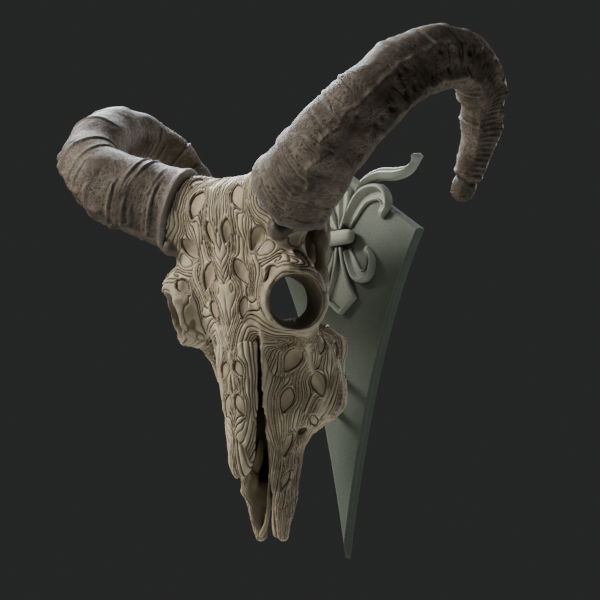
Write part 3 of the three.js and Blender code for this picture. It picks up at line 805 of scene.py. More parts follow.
class SagePaint(Finish):
    """Matt sage-green paint with soft patches and fine specks, paler where it is worn."""

    name = "sage_paint"
    green: Colour = (0.116, 0.146, 0.114)
    shade: Colour = (0.096, 0.121, 0.095)
    worn: Colour = (0.25, 0.275, 0.235)
    # colour of the grime and painted shade in the hollows
    grime: Colour = (0.04, 0.046, 0.036)
    rough: Span = (0.46, 0.62)
    edge_reach: float = 0.0016

    def wire(self, graph: Graph, shader: bpy.types.Node) -> None:
        """Varies the paint, paints shade and grime into its hollows and lightens its worn edges.

        Args:
            graph: nodes of the material.
            shader: its shader.
        """
        mottle = self.group(graph, self.effects.mottle, Patch=16.0, Speck=700.0)
        specks = mottle["Specks"]
        bevel = graph.add("ShaderNodeBevel", {"Radius": self.edge_reach}, samples=6).outputs[0]
        face = graph.add("ShaderNodeNewGeometry").outputs["Normal"]
        agree = graph.add("ShaderNodeVectorMath", {0: bevel, 1: face}, operation="DOT_PRODUCT")
        edge = graph.ease(agree.outputs["Value"], 0.995, 0.93)
        chipped = graph.ease(specks, 0.0, 0.6, 0.4, 1.0)
        colour = graph.coats(
            graph.mix(mottle["Patches"], self.green, self.shade),
            (specks, 0.18, self.worn),
            (graph.math("MULTIPLY", edge, chipped), 0.55, self.worn),
            # painted shade and grime in the hollows
            (mottle["Grime"], 0.8, self.grime),
        )
        rough = graph.ease(mottle["Patches"], 0.0, 1.0, *self.rough)
        normal = graph.bumps((specks, 0.18, 0.0003))
        graph.plug(shader, {"Base Color": colour, "Roughness": rough, "Normal": normal})


class PaleSagePaint(SagePaint):
    """Paler, slightly glossier paint of the ornament."""

    name = "pale_sage_paint"
    green: Colour = (0.42, 0.455, 0.395)
    shade: Colour = (0.36, 0.39, 0.34)
    worn: Colour = (0.58, 0.61, 0.54)
    rough: Span = (0.36, 0.5)


class DullSteel(Finish):
    """Dull steel of the pins, spotted and unevenly rough."""

    name = "dull_steel"
    steel: Colour = (0.20, 0.20, 0.195)
    stain: Colour = (0.09, 0.075, 0.06)
    rough: Span = (0.34, 0.56)

    def wire(self, graph: Graph, shader: bpy.types.Node) -> None:
        """Spots the steel and roughens it unevenly.

        Args:
            graph: nodes of the material.
            shader: its shader.
        """
        mottle = self.group(graph, self.effects.mottle, Patch=180.0, Speck=2400.0)
        colour = graph.mix(graph.math("MULTIPLY", mottle["Patches"], 0.5), self.steel, self.stain)
        rough = graph.ease(mottle["Specks"], 0.0, 1.0, *self.rough)
        normal = graph.bumps((mottle["Specks"], 0.2, 0.0001))
        graph.plug(shader, {"Base Color": colour, "Roughness": rough, "Normal": normal})
        shader.inputs["Metallic"].default_value = 0.85


class PaleFloor(Finish):
    """Plain pale floor of the studio."""

    name = "pale_floor"
    pale: Colour = (0.66, 0.66, 0.64)
    paler: Colour = (0.70, 0.70, 0.68)

    def wire(self, graph: Graph, shader: bpy.types.Node) -> None:
        """Varies the floor a little.

        Args:
            graph: nodes of the material.
            shader: its shader.
        """
        place = graph.add("ShaderNodeTexCoord").outputs["Object"]
        graph.plug(shader, {"Base Color": graph.mix(graph.noise(place, 3.0), self.pale, self.paler)})
        shader.inputs["Roughness"].default_value = 0.8


# The horns

@dataclass
class HornPair:
    """Both horns, each one hide of horn over the four lengths that carry it."""

    line: tuple[tuple[float, float, float, float], ...] = (
        (45, -112, 7, 26.5), (70, -124, 17, 25.6), (94, -133, 29, 23.2), (116, -128, 47, 21.2),
        (127, -109, 67, 20.2), (136, -84, 79, 19.4), (137, -56, 80, 17.2), (130, -34, 69, 15.6),
        (121, -22, 52, 12.8), (110, -15, 34, 10.2), (99, -11, 17, 6.6),
    )
    lengths: tuple[str, ...] = ("base", "middle", "curl", "tip")
    flat: float = 0.93
    keel_start: Point = (0.75, -0.05, -0.75)
    keel_half: float = 0.52
    under: Point = (0.947, -0.444, -0.40)
    under_flat: float = 0.7
    wave_height: float = 2.2
    ridge_height: float = 1.7
    ridge_width: float = 2.4
    year_length: float = 27.0
    year_height: float = 0.45
    fine_length: float = 4.6
    fine_height: float = 0.12
    swell_height: float = 0.4
    grain_height: float = 0.09
    creases: int = 26
    close_creases: int = 6
    first_crease: float = 4.0
    close_steps: Span = (4.0, 7.0)
    wide_steps: Span = (7.0, 19.0)
    crease_width: float = 0.85
    crease_depth: float = 0.7
    cord_off: float = 1.5
    cord_width: float = 0.9
    cord_height: float = 1.0
    dent_step: float = 7.2
    dent_depth: float = 3.2
    rib_step: float = 3.6
    rib_height: float = 0.45
    lip_place: float = 3.2
    lip_height: float = 2.0
    root_depth: float = 1.2
    cap_place: float = 9.0
    cap_depth: float = 1.2
    collar_place: float = 12.0
    end_swell: float = 1.4
    full_relief_radius: float = 9.0
    uv_turn: float = 18.0
    rings: int = 330
    sides: int = 120
    tip_rings: int = 10

    def centre(self, t: np.ndarray) -> np.ndarray:
        """Centre line with even weight to each stretch, as a centripetal spline.

        Args:
            t: places from 0 at the base to 1 at the tip.

        Returns:
            Points of the centre line.
        """
        knots = np.array([row[:3] for row in self.line], float)
        before = 2 * knots[0] - knots[1]
        after = 2 * knots[-1] - knots[-2]
        knots = np.vstack([before, knots, after])
        place = np.clip(t, 0, 1) * (len(self.line) - 1)
        cell = np.minimum(place.astype(int), len(self.line) - 2)
        share = place - cell
        result = np.zeros((len(t), 3))
        for i in range(len(self.line) - 1):
            here = cell == i
            if here.any():
                result[here] = self._stretch(knots[i:i + 4], share[here])
        return result

    @staticmethod
    def _stretch(p: np.ndarray, share: np.ndarray) -> np.ndarray:
        """Points between the second and third of four knots.

        Args:
            p: the four knots.
            share: places between the two, 0 to 1.

        Returns:
            Points of the stretch.
        """
        d = [max(np.linalg.norm(p[k + 1] - p[k]) ** 0.5, 1e-4) for k in range(3)]
        start = (p[1] - p[0]) / d[0] - (p[2] - p[0]) / (d[0] + d[1]) + (p[2] - p[1]) / d[1]
        end = (p[2] - p[1]) / d[1] - (p[3] - p[1]) / (d[1] + d[2]) + (p[3] - p[2]) / d[2]
        start, end = start * d[1], end * d[1]
        s = share[:, None]
        cubic = 2 * p[1] - 2 * p[2] + start + end
        square = -3 * p[1] + 3 * p[2] - 2 * start - end
        return p[1] + start * s + square * s ** 2 + cubic * s ** 3

    def frames(self, centre: np.ndarray) -> tuple[np.ndarray, np.ndarray, np.ndarray]:
        """Axis, keel direction and side direction along the horn, carried on without twist.

        Args:
            centre: points of the centre line.

        Returns:
            Three arrays of unit vectors.
        """
        axis = np.gradient(centre, axis=0)
        axis /= np.linalg.norm(axis, axis=1, keepdims=True)
        keel = np.zeros_like(axis)
        way = np.array(self.keel_start)
        for i, ahead in enumerate(axis):
            way = way - ahead * (way @ ahead)
            way = way / np.linalg.norm(way)
            keel[i] = way
        return axis, keel, np.cross(axis, keel)

    def year_rings(self, run: np.ndarray, share: np.ndarray, waves: np.ndarray,
                   points: np.ndarray) -> np.ndarray:
        """Height of the year rings, the fine rings and the slow swell.

        Args:
            run: length along the horn.
            share: the same as a share of the whole.
            waves: bends of the rings.
            points: places on the plain horn.

        Returns:
            Heights in millimetres.
        """
        year = np.sin((run + waves) * 2 * math.pi / self.year_length)
        patches = smoothstep(-0.2, 0.7, Ripple(Seed.FINE_PATCHES, 46.0).at(points))
        bent = run + waves * 1.3 + 0.8 * Ripple(Seed.FINE_WAVES, 16.0).at(points)
        fine = np.sin(bent * 2 * math.pi / self.fine_length)
        height = self.year_height * year * smoothstep(0.0, 0.05, share)
        height += self.fine_height * patches * fine
        return height + self.swell_height * Ripple(Seed.HORN_SWELL, 24.0).at(points)

    def folds(self, run: np.ndarray, waves: np.ndarray, points: np.ndarray) -> tuple[np.ndarray, np.ndarray]:
        """Creases round the horn with a raised cord beside each.

        Args:
            run: length along the horn.
            waves: bends of the rings.
            points: places on the plain horn.

        Returns:
            Shares of crease and of cord, between 0 and 1.
        """
        draw = np.random.default_rng(Seed.CREASES)
        crease, cord = np.zeros(len(points)), np.zeros(len(points))
        place = self.first_crease
        for number in range(self.creases):
            place += draw.uniform(*(self.close_steps if number < self.close_creases else self.wide_steps))
            bent = run + waves * draw.uniform(0.5, 1.5) - place
            reach = Ripple(Seed.CREASE_REACH + number, 55.0).at(points)
            part = smoothstep(-0.5, 0.4, reach) * draw.uniform(0.5, 1.0)
            crease = np.maximum(crease, part * bell(bent, self.crease_width))
            cord = np.maximum(cord, part * bell(bent - self.cord_off, self.cord_width))
        return crease, cord

    def relief(self, angle: np.ndarray, run: np.ndarray, radius: np.ndarray, points: np.ndarray,
               total: float) -> tuple[np.ndarray, dict[str, np.ndarray]]:
        """Height of rings, ridges and dents over the plain horn.

        Args:
            angle: angle from the middle of the under-face.
            run: length along the horn.
            radius: radius of the plain horn.
            points: places on the plain horn.
            total: full length of the horn.

        Returns:
            Heights in millimetres and the named values for the finish.
        """
        off, share, past = np.abs(angle), run / total, run - total
        half = self.keel_half + 0.06 * Ripple(Seed.UNDER_FACE, 20.0).at(points)
        chord = radius * (np.cos(half) / np.cos(np.minimum(off, half)) - 1.0)
        height = np.where(off < half, chord, 0.0) * smoothstep(0.02, 0.12, share) * self.under_flat
        knob = 0.8 + 0.55 * Ripple(Seed.RIDGE_KNOBS, 8.0).at(points)
        ridge = bell((off - half) * radius, self.ridge_width) * smoothstep(1.02, 0.75, share)
        height += self.ridge_height * ridge * knob
        waves = self.wave_height * Ripple(Seed.RING_WAVES, 70.0).at(points)
        height += self.year_rings(run, share, waves, points)

        round_side = smoothstep(-0.1, 0.15, off - half) * smoothstep(0.97, 0.9, share)
        crease, cord = (fold * round_side for fold in self.folds(run, waves, points))
        height += self.cord_height * cord - self.crease_depth * crease

        steps = (run + 0.8 * waves + 3.0 * Ripple(Seed.DENT_STEPS, 26.0).at(points)) / self.dent_step
        deep = bell(np.abs(steps % 1.0 - 0.5) * self.dent_step, 1.5)
        deep *= bell((off - 0.62 * half) * radius, 2.8) * smoothstep(0.10, 0.28, share)
        deep *= np.clip(0.35 + 0.8 * Ripple(Seed.DENT_DEPTHS, 13.0).at(points), 0.0, 1.0)
        deep *= smoothstep(0.72, 0.55, share)
        height -= self.dent_depth * deep
        ribs = np.sin(run * 2 * math.pi / self.rib_step) * bell(off, 0.5)
        height += self.rib_height * ribs * smoothstep(0.5, 0.65, share) * smoothstep(1.0, 0.95, share)

        lip = bell(run - self.lip_place, 3.0)
        height += self.lip_height * lip - self.root_depth * bell(run, 1.6)
        cap = bell(past + self.cap_place, 1.4)
        height += self.grain_height * Ripple(Seed.HORN_GRAIN, 6.0).at(points) - self.cap_depth * cap
        height += bell(past + self.collar_place, 1.6)
        height += self.end_swell * smoothstep(-8.0, -3.0, past)

        # painted shade along the under-face and in the dents and creases, a darker root, and the tip's own
        # dark end and groove
        under_face_shade = 0.35 * bell(angle, 0.9 * self.keel_half) * smoothstep(0.05, 0.2, share)
        end = 0.45 * smoothstep(-9.0, -6.0, past)
        dark = np.maximum.reduce(
            [1.2 * deep, under_face_shade, 0.7 * crease, 0.8 * cap, 0.7 * bell(run, 1.3), end])
        return height, {"dent": np.clip(dark, 0, 1), "lip": np.clip(np.maximum(lip, 0.6 * cord), 0, 1)}

    def surface(self, side: Side) -> Surface:
        """Shape of one horn with its rounded tip.

        Args:
            side: half that the horn stands on.

        Returns:
            Closed surface of the horn.
        """
        t = np.linspace(0.0, 1.0, self.rings)
        centre = self.centre(t)
        axis, keel, across = self.frames(centre)
        step = np.linalg.norm(np.diff(centre, axis=0), axis=1)
        run = np.concatenate([[0.0], np.cumsum(step)])
        total = run[-1]
        radii = [row[3] for row in self.line]
        radius = np.interp(t * (len(radii) - 1), range(len(radii)), radii)
        last = radius[-1]
        for k in range(1, self.tip_rings + 1):
            turn = 0.5 * math.pi * k / (self.tip_rings + 0.6)
            ahead = axis[self.rings - 1] * last * 0.95 * math.sin(turn)
            centre = np.vstack([centre, centre[self.rings - 1] + ahead])
            radius = np.append(radius, last * math.cos(turn))
            run = np.append(run, total + last * math.sin(turn))
            axis, keel, across = (np.vstack([a, a[-1]]) for a in (axis, keel, across))
        count = len(centre)
        angle = np.linspace(-math.pi, math.pi, self.sides, endpoint=False)
        grid_angle = np.tile(angle, count)
        spread = lambda a: np.repeat(a, self.sides, axis=0)
        way = (np.cos(grid_angle)[:, None] * spread(keel)
               + self.flat * np.sin(grid_angle)[:, None] * spread(across))
        plain = spread(centre) + way * spread(radius)[:, None]
        under = np.array(self.under)
        facing = np.unwrap(np.arctan2(across @ under, keel @ under))
        turned = (grid_angle - spread(facing) + math.pi) % (2 * math.pi) - math.pi
        height, values = self.relief(turned, spread(run), spread(radius), plain, total)
        height *= np.clip(spread(radius) / self.full_relief_radius, 0.12, 1.0)
        points = plain + way * height[:, None]
        points = np.vstack([points, centre[0], centre[-1] + axis[-1] * last * 0.02])
        faces = tube_faces(count, self.sides) + end_fans(count, self.sides)
        uv = np.stack([grid_angle * self.uv_turn, spread(run)], axis=1)
        uv = np.vstack([uv, [0.0, 0.0], [0.0, run[-1]]])
        values = {key: np.append(value, [value[0], value[-1]]) for key, value in values.items()}
        return Surface(points, faces, values, uv).on(side)

    def build(self, finish: bpy.types.Material) -> None:
        """Makes both horns and lets each stand for its lengths.

        Args:
            finish: material of the horn.
        """
        for side in Side:
            piece = make_object(f"horn_sheath_{side.word}", self.surface(side))
            seat(piece, finish, Slot.HORN)
            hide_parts(*(f"horn_{side.word}_{name}" for name in self.lengths))


# The carved skull

@dataclass(frozen=True)
class EyeSocket:
    """Place and look of the left eye socket."""

    centre: Point = (50.4, -115.0, -60.0)
    turn: float = math.radians(40)
    tilt: float = math.radians(17)
    inner: float = 15.7

    def measure(self, places: np.ndarray) -> tuple[np.ndarray, np.ndarray]:
        """Height over the rim along the socket's axis and distance from that axis.

        Args:
            places: points with x folded to the left half.

        Returns:
            Heights and distances.
        """
        axis = np.array([math.sin(self.turn), -math.cos(self.turn), -math.tan(self.tilt)])
        return axis_measure(places, self.centre, axis / np.linalg.norm(axis))


@dataclass(frozen=True)
class Panel:
    """Main island: height, turn from the midline and tilt in degrees, half length and half width."""

    z: float
    turn: float
    tilt: float
    long: float
    wide: float


@dataclass(frozen=True)
class Island:
    """Smooth lens in the bone that the carved strands part round, with one end rounder than the other."""

    centre: np.ndarray
    along: np.ndarray
    facing: np.ndarray
    long: float
    wide: float
    skew: float = 0.3
    steep: float = 2.5
    blunt: float = 0.01

    def reach(self, off: np.ndarray) -> np.ndarray:
        """Distance from the middle, where 1 is the border.

        Args:
            off: places relative to the middle.

        Returns:
            One distance for each place.
        """
        run = off @ self.along / self.long
        side = off @ np.cross(self.along, self.facing) / (1 + self.skew * np.clip(run, -1, 1))
        rise = off @ self.facing / self.steep
        return np.sqrt((side ** 2 + rise ** 2) / self.wide ** 2 + self.blunt) + run ** 2


@dataclass(frozen=True)
class StrandLayer:
    """One layer of carved strands: the level lines of a value over the left half of the bone."""

    lean: float
    seed: int
    spacing: float = 1.4
    socket: EyeSocket = EyeSocket()
    eye_reach: Span = (38.0, 22.0)
    eye_level: float = 43.0
    eye_slope: float = 0.9
    horn_root: Point = (45.0, -112.0, 7.0)
    horn_axis: Point = (0.851, -0.408, 0.330)
    horn_reach: Span = (44.0, 32.0)
    horn_height: Span = (-18.0, -5.0)
    horn_level: float = 30.0
    horn_slope: float = 0.8
    core_y: float = -74.0
    turn_scale: float = 36.0
    bundle: float = 10.5
    gather: float = 0.95
    probe: float = 0.4

    def horn_measure(self, places: np.ndarray) -> tuple[np.ndarray, np.ndarray]:
        """Height along the axis of the horn's root and distance from that axis."""
        return axis_measure(places, self.horn_root, np.array(self.horn_axis))

    def base(self, places: np.ndarray) -> np.ndarray:
        """Value before any island: down the face, round the eye sockets and round the horns.

        Args:
            places: points with x folded to the left half.

        Returns:
            One value for each point, in millimetres.
        """
        turn = np.arctan2(places[:, 0], self.core_y - places[:, 1])
        run = self.turn_scale * turn + self.lean * places[:, 2]
        depth, apart = self.socket.measure(places)
        near_eye = smoothstep(*self.eye_reach, np.sqrt(apart ** 2 + 0.5 * np.minimum(depth, 0) ** 2))
        run = run * (1 - near_eye) + (self.eye_level - apart * self.eye_slope) * near_eye
        ahead, apart = self.horn_measure(places)
        near_horn = smoothstep(*self.horn_height, ahead) * smoothstep(*self.horn_reach, apart)
        run = run * (1 - near_horn) + (ahead * self.horn_slope + self.horn_level) * near_horn
        waves = 2.8 * Ripple(self.seed, 52.0).at(places)
        waves += 0.22 * Ripple(self.seed + 1, 20.0).at(places)
        run = run + waves * smoothstep(0.0, 7.0, places[:, 0])
        return run + self.gather * np.sin(run * 2 * math.pi / self.bundle)

    def at(self, places: np.ndarray, islands: list[Island]) -> np.ndarray:
        """Value with the islands, which the level lines part round.

        Args:
            places: points with x folded to the left half.
            islands: the islands.

        Returns:
            One value for each point.
        """
        run = self.base(places)
        levels = self.base(np.array([island.centre for island in islands]))
        for island, level in zip(islands, (np.floor(levels / self.spacing) + 0.5) * self.spacing):
            off = places - island.centre
            near = np.flatnonzero((off ** 2).sum(axis=1) < (2.0 * island.long) ** 2)
            reach = island.reach(off[near])
            part = smoothstep(2.8, 1.2, reach) / np.maximum(reach, 1.0) ** 2
            run[near] += (level - run[near]) * part
        return run

    def slope(self, places: np.ndarray, facing: np.ndarray, islands: list[Island]) -> np.ndarray:
        """Slope of the value along the surface.

        Args:
            places: points on the surface.
            facing: unit normals there.
            islands: the islands.

        Returns:
            One number for each point.
        """
        here = self.at(places, islands)
        slope = np.stack([
            (self.at(places + self.probe * way, islands) - here) / self.probe for way in np.eye(3)
        ], axis=1)
        return np.linalg.norm(slope - facing * (slope * facing).sum(axis=1, keepdims=True), axis=1)


@dataclass
class Carving:
    """Pattern of the carving: panels and small islands in two layers of strands that pass over each other."""

    panels: tuple[Panel, ...] = (
        Panel(6, 16, -22, 9.5, 4.8), Panel(-15, 7.5, 8, 8, 3.1), Panel(-21, 28, 36, 9, 4.6),
        Panel(-40, 15, -26, 9.5, 4.4), Panel(-43, 36, 42, 7, 3.4), Panel(-61, 14, 14, 7, 3),
        Panel(-92, 57, 26, 9, 4.8), Panel(-106, 80, -20, 8.5, 4.6), Panel(-116, 54, 15, 8.5, 4),
        Panel(-142, 62, 6, 8, 3),
    )
    upper: StrandLayer = StrandLayer(0.06, Seed.UPPER_STRANDS)
    lower: StrandLayer = StrandLayer(-0.24, Seed.LOWER_STRANDS)
    socket: EyeSocket = EyeSocket()
    seed: int = Seed.ISLANDS
    tries: int = 4000
    room: float = 19.0
    midline_room: float = 5.0
    eye_room: float = 26.0
    long: Span = (5.0, 8.5)
    slim: Span = (0.34, 0.5)
    swing: float = 35.0
    far: float = 30.0
    panel_reach: float = 1.5
    patch_length: float = 25.0
    patch_stretch: Point = (1.0, 1.0, 0.4)
    patch_swing: float = 3.4
    patch_bias: float = 0.6
    islands: list[Island] = field(default_factory=list)

    def add(self, place: np.ndarray, out: np.ndarray, tilt: float, long: float, wide: float) -> None:
        """Adds an island that tilts from the height of the bone.

        Args:
            place: its middle.
            out: unit normal there.
            tilt: turn of its upper end outwards, in degrees.
            long: half length.
            wide: half width.
        """
        up = np.array([0.0, 0.0, 1.0]) - out * out[2]
        up /= np.linalg.norm(up)
        angle = math.radians(tilt)
        along = math.cos(angle) * up + math.sin(angle) * np.cross(up, out)
        self.islands.append(Island(place, along, out, long, wide))

    def scatter(self, places: np.ndarray, facing: np.ndarray, share: np.ndarray) -> None:
        """Lays out the panels and spreads small islands over the rest of the carved bone.

        Args:
            places: points of the skin with x folded to the left half.
            facing: unit normals, folded alike.
            share: share of carving at each point.
        """
        forward = self.upper.core_y - places[:, 1]
        radius = np.hypot(places[:, 0], forward)
        turn = np.degrees(np.arctan2(places[:, 0], forward))
        for panel in self.panels:
            aside = np.hypot(places[:, 2] - panel.z, np.radians(turn - panel.turn) * radius)
            near = np.flatnonzero(aside < self.panel_reach)
            pick = near[np.argmax(radius[near])]
            self.add(places[pick], facing[pick], panel.tilt, panel.long, panel.wide)
        draw = np.random.default_rng(self.seed)
        _, apart = self.socket.measure(places)
        clear = (share > 0.9) & (places[:, 0] > self.midline_room) & (apart > self.eye_room)
        for spot in draw.permutation(np.flatnonzero(clear))[:self.tries]:
            gaps = [np.linalg.norm(places[spot] - island.centre) for island in self.islands]
            if min(gaps) > self.room and abs(facing[spot, 2]) < 0.8:
                long = draw.uniform(*self.long)
                tilt = draw.uniform(-self.swing, self.swing)
                self.add(places[spot], facing[spot], tilt, long, long * draw.uniform(*self.slim))
        log.info("islands in the carving: %d", len(self.islands))

    def rim(self, places: np.ndarray) -> np.ndarray:
        """Distance to the nearest island's border, negative inside.

        Args:
            places: points with x folded to the left half.

        Returns:
            One distance for each point, in millimetres.
        """
        rim = np.full(len(places), self.far)
        for island in self.islands:
            rim = np.minimum(rim, (island.reach(places - island.centre) - 1.0) * island.wide)
        return rim

    def over(self, places: np.ndarray) -> np.ndarray:
        """Rough distance to where the upper layer ends, positive where it lies on top."""
        patches = Ripple(self.seed, self.patch_length).at(places * np.array(self.patch_stretch))
        return self.patch_swing * patches + self.patch_bias


class NasalColumn(IntEnum):
    """Columns of the nasal table."""

    HEIGHT = 0
    HALF = 1
    FRONT = 2
    THICK = 3


@dataclass
class CarvedSkull:
    """Bones of the skull: fused, evened out, carved with flowing lines and parted along the joints."""

    bones: tuple[str, ...] = (
        "cranium", "maxilla_left", "maxilla_right", "premaxilla_left", "premaxilla_right",
        "nasal_left", "nasal_right",
    )
    swell: float = 0.36
    voxel: float = 1.3
    coarse_rounds: int = 26
    fine_rounds: int = 2
    line_width: float = 0.55
    line_depth: float = 0.6
    pillow: float = 0.55
    lift: float = 0.35
    sink: float = 0.4
    lens_rise: float = 0.5
    lens_groove: float = 0.4
    crest_height: float = 0.9
    crest_width: float = 1.7
    hollow_depth: float = 0.8
    pit_depth: float = 1.0
    worn_height: float = 0.25
    worn_grain: float = 0.08
    back_limits: Span = (0.85, 0.45)
    cap_depth: float = 1.0
    face_seam: tuple[float, float, float] = (-69.0, -84.0, 60.0)
    muzzle_seam: float = -163.0
    nasal_rows: tuple[tuple[float, float, float, float], ...] = (
        (-71, 16, -118.9, 6), (-86, 14.6, -117, 5.4), (-112, 12.6, -114, 5), (-132, 10.8, -112.8, 5),
        (-147, 9, -112, 4.6), (-157, 6, -110.8, 3.4), (-161, 3, -109.6, 1.6),
    )
    nasal_room: float = 6.0
    slit: float = 3.4
    slit_band: float = 8.5
    slit_start: Span = (-70.0, -76.0)
    slit_front: Span = (-95.0, -100.0)
    slit_rim: float = 0.9
    cavity_half: float = 19.5
    cavity_depths: Span = (-110.0, -98.0)
    cavity_top: float = -66.0
    cavity_end: float = -160.0
    wall_reach: float = 26.0
    wall_depths: Span = (-104.0, -58.0)
    socket: EyeSocket = EyeSocket()
    # strength of the painted shade on the eye rims and under the horns
    socket_age: float = 0.52
    horn_age: float = 0.50
    boss: Point = (45.0, -124.0, -18.0)
    boss_half: float = 7.5
    fossa: Point = (40.0, -89.0, -19.0)
    fossa_half: Point = (11.0, 11.0, 23.0)
    foramen: Point = (22.6, -75.8, -132.8)
    foramen_half: float = 3.4
    strand_draws: int = 400
    strand_base: float = 80.0
    fold: tuple[Point, ...] = (
        (41.5, -93, -82.5), (38.4, -88.3, -91.4), (38.4, -84.5, -98.4), (39.2, -79.9, -104.1),
        (40.7, -74.9, -108.7), (38.8, -75.5, -114.7), (35.6, -76.4, -121.9),
    )

    def gather(self, nodes: dict[str, bpy.types.Object]) -> bpy.types.Object:
        """Joins slightly swollen copies of the bones, so that the joints close.

        Args:
            nodes: CAD nodes by name.

        Returns:
            One object of all the bones.
        """
        points: list[np.ndarray] = []
        faces: list[np.ndarray] = []
        start = 0
        for name in self.bones:
            place, corners = mesh_arrays(nodes[name].data)
            whole, index = np.unique(np.round(place, 4), axis=0, return_inverse=True)
            corners = index.ravel()[corners]
            points.append(whole + self.swell * vertex_normals(whole, corners))
            faces.append(corners + start)
            start += len(whole)
        tidy = [tidy_face(face) for face in np.vstack(faces)]
        return make_object("skull_core", Surface(np.vstack(points), tidy))

    def skin(self, core: bpy.types.Object) -> tuple[np.ndarray, np.ndarray]:
        """Even skin over the joined bones.

        Args:
            core: object of all the bones.

        Returns:
            Points and faces of the skin.
        """
        remesh = core.modifiers.new("Even", "REMESH")
        remesh.mode = "VOXEL"
        remesh.voxel_size = self.voxel * MM
        points, faces, edges = read_object(core)
        bpy.data.objects.remove(core)
        points = relax(points, edges, self.coarse_rounds)
        smooth = make_object("skull_skin", Surface(points, [tidy_face(face) for face in faces]))
        smooth.modifiers.new("Finer", "SUBSURF").levels = 1
        points, faces, edges = read_object(smooth)
        bpy.data.objects.remove(smooth)
        return relax(points, edges, self.fine_rounds), faces

    def nasal_at(self, z: np.ndarray, column: NasalColumn) -> np.ndarray:
        """Column of the nasal table at each height."""
        table = np.array(self.nasal_rows)[::-1]
        return np.interp(z, table[:, NasalColumn.HEIGHT], table[:, column])

    def nasal_back(self, z: np.ndarray) -> np.ndarray:
        """Depth behind which the nose cavity begins at each height."""
        return self.nasal_at(z, NasalColumn.FRONT) + self.nasal_at(z, NasalColumn.THICK) + self.nasal_room

    def hidden(self, places: np.ndarray, normals: np.ndarray) -> np.ndarray:
        """Share of hidden inner bone at each point, painted dark as shade: eye sockets, temples and the nose
        cavity.

        Args:
            places: points with x folded to the left half.
            normals: unit normals, folded alike.

        Returns:
            Shares between 0 and 1.
        """
        x, y, z = places.T
        depth, apart = self.socket.measure(places)
        inner, top = self.socket.inner, self.cavity_top
        funnel = smoothstep(inner + 1.6, inner + 0.2, apart) * smoothstep(3.0, -1.0, depth)
        temple = np.linalg.norm((places - np.array(self.fossa)) / np.array(self.fossa_half), axis=1)
        aside = self.nasal_at(z, NasalColumn.HALF) + self.slit
        nose = (y > self.nasal_back(z)) * (x < aside) * (z > self.cavity_end) * smoothstep(top, top - 6.0, z)
        inward = smoothstep(0.1, -0.35, normals[:, 0]) * smoothstep(top, top - 8.0, z)
        wall = inward * (x < self.wall_reach) * (y > self.wall_depths[0]) * (y < self.wall_depths[1])
        return np.maximum.reduce([funnel, smoothstep(1.25, 0.95, temple), nose, wall])

    def handled(self, places: np.ndarray, layer: StrandLayer) -> np.ndarray:
        """Share of painted brown shade on the rim of the eye sockets and under the horns.

        Args:
            places: points with x folded to the left half.
            layer: strands that know where the horn stands.

        Returns:
            Shares between 0 and 1.
        """
        depth, apart = self.socket.measure(places)
        inner = self.socket.inner
        ring = smoothstep(inner + 9.5, inner + 4.5, apart) * smoothstep(-24.0, -10.0, depth)
        ahead, aside = layer.horn_measure(places)
        under_horn = smoothstep(-15.0, -3.0, ahead) * smoothstep(44.0, 34.0, aside)
        return np.maximum(self.socket_age * ring, self.horn_age * under_horn)

    def strands(self, places: np.ndarray, facing: np.ndarray,
                pattern: Carving) -> tuple[list[np.ndarray], dict[str, np.ndarray]]:
        """Both layers of strands.

        Args:
            places: points with x folded to the left half.
            facing: unit normals, folded alike.
            pattern: layout of the carving.

        Returns:
            Heights of the upper and lower layer and the values that draw their lines.
        """
        draws = np.random.default_rng(pattern.seed).uniform(-1.0, 1.0, self.strand_draws)
        heights: list[np.ndarray] = []
        values: dict[str, np.ndarray] = {}
        for key, layer in (("upper", pattern.upper), ("lower", pattern.lower)):
            strand = layer.at(places, pattern.islands) / layer.spacing + self.strand_base
            steep = layer.slope(places, facing, pattern.islands)
            pitch = np.clip(layer.spacing / np.maximum(steep, 0.12), 0.35, 9.0)
            number = np.rint(strand).astype(int)
            weight = 0.80 + 0.20 * draws[number % len(draws)]
            weight *= np.where(number % 2 == 1, smoothstep(0.8, 1.4, pitch), 1.0)
            apart = np.abs(strand - number) * pitch
            tall = 0.7 + 0.4 * draws[np.floor(strand).astype(int) % len(draws)]
            crown = smoothstep(0.0, 0.9, apart) * tall
            cut = self.line_depth * weight * bell(apart, self.line_width)
            heights.append((self.pillow * crown - cut) * smoothstep(0.4, 0.9, pitch))
            values.update({f"strand_{key}": strand, f"pitch_{key}": pitch, f"weight_{key}": weight})
        return heights, values

    def carve(self, points: np.ndarray, faces: np.ndarray) -> Surface:
        """Cuts the lines into the skin and leaves their values for the finish.

        Args:
            points: points of the skin.
            faces: its faces.

        Returns:
            The carved surface.
        """
        normals = vertex_normals(points, faces)
        fold = np.where(points[:, :1] < 0, MIRROR, 1.0)
        places, facing = points * fold, normals * fold
        hidden = self.hidden(places, facing)
        share = smoothstep(*self.back_limits, facing[:, 1]) * (1 - hidden)
        gap = places[:, 0] - self.nasal_at(places[:, 2], NasalColumn.HALF) - self.slit
        below = smoothstep(*self.slit_start, places[:, 2])
        beside_slit = (np.abs(gap) < self.slit_band) & (below > 0)
        pattern = Carving(socket=self.socket)
        pattern.scatter(places, facing, np.where(beside_slit, 0.0, share))

        rim, over = pattern.rim(places), pattern.over(places)
        (upper, lower), lines = self.strands(places, facing, pattern)
        top = smoothstep(-0.2, 0.2, over)
        strands = (upper + self.lift) * top + lower * (1 - top)
        strands -= 0.3 * self.line_depth * bell(over, self.line_width)
        lens = self.lens_rise * bell(rim - 1.3, 0.8) - self.lens_groove * bell(rim, 0.5)
        lens -= self.sink * smoothstep(0.5, -0.9, rim)

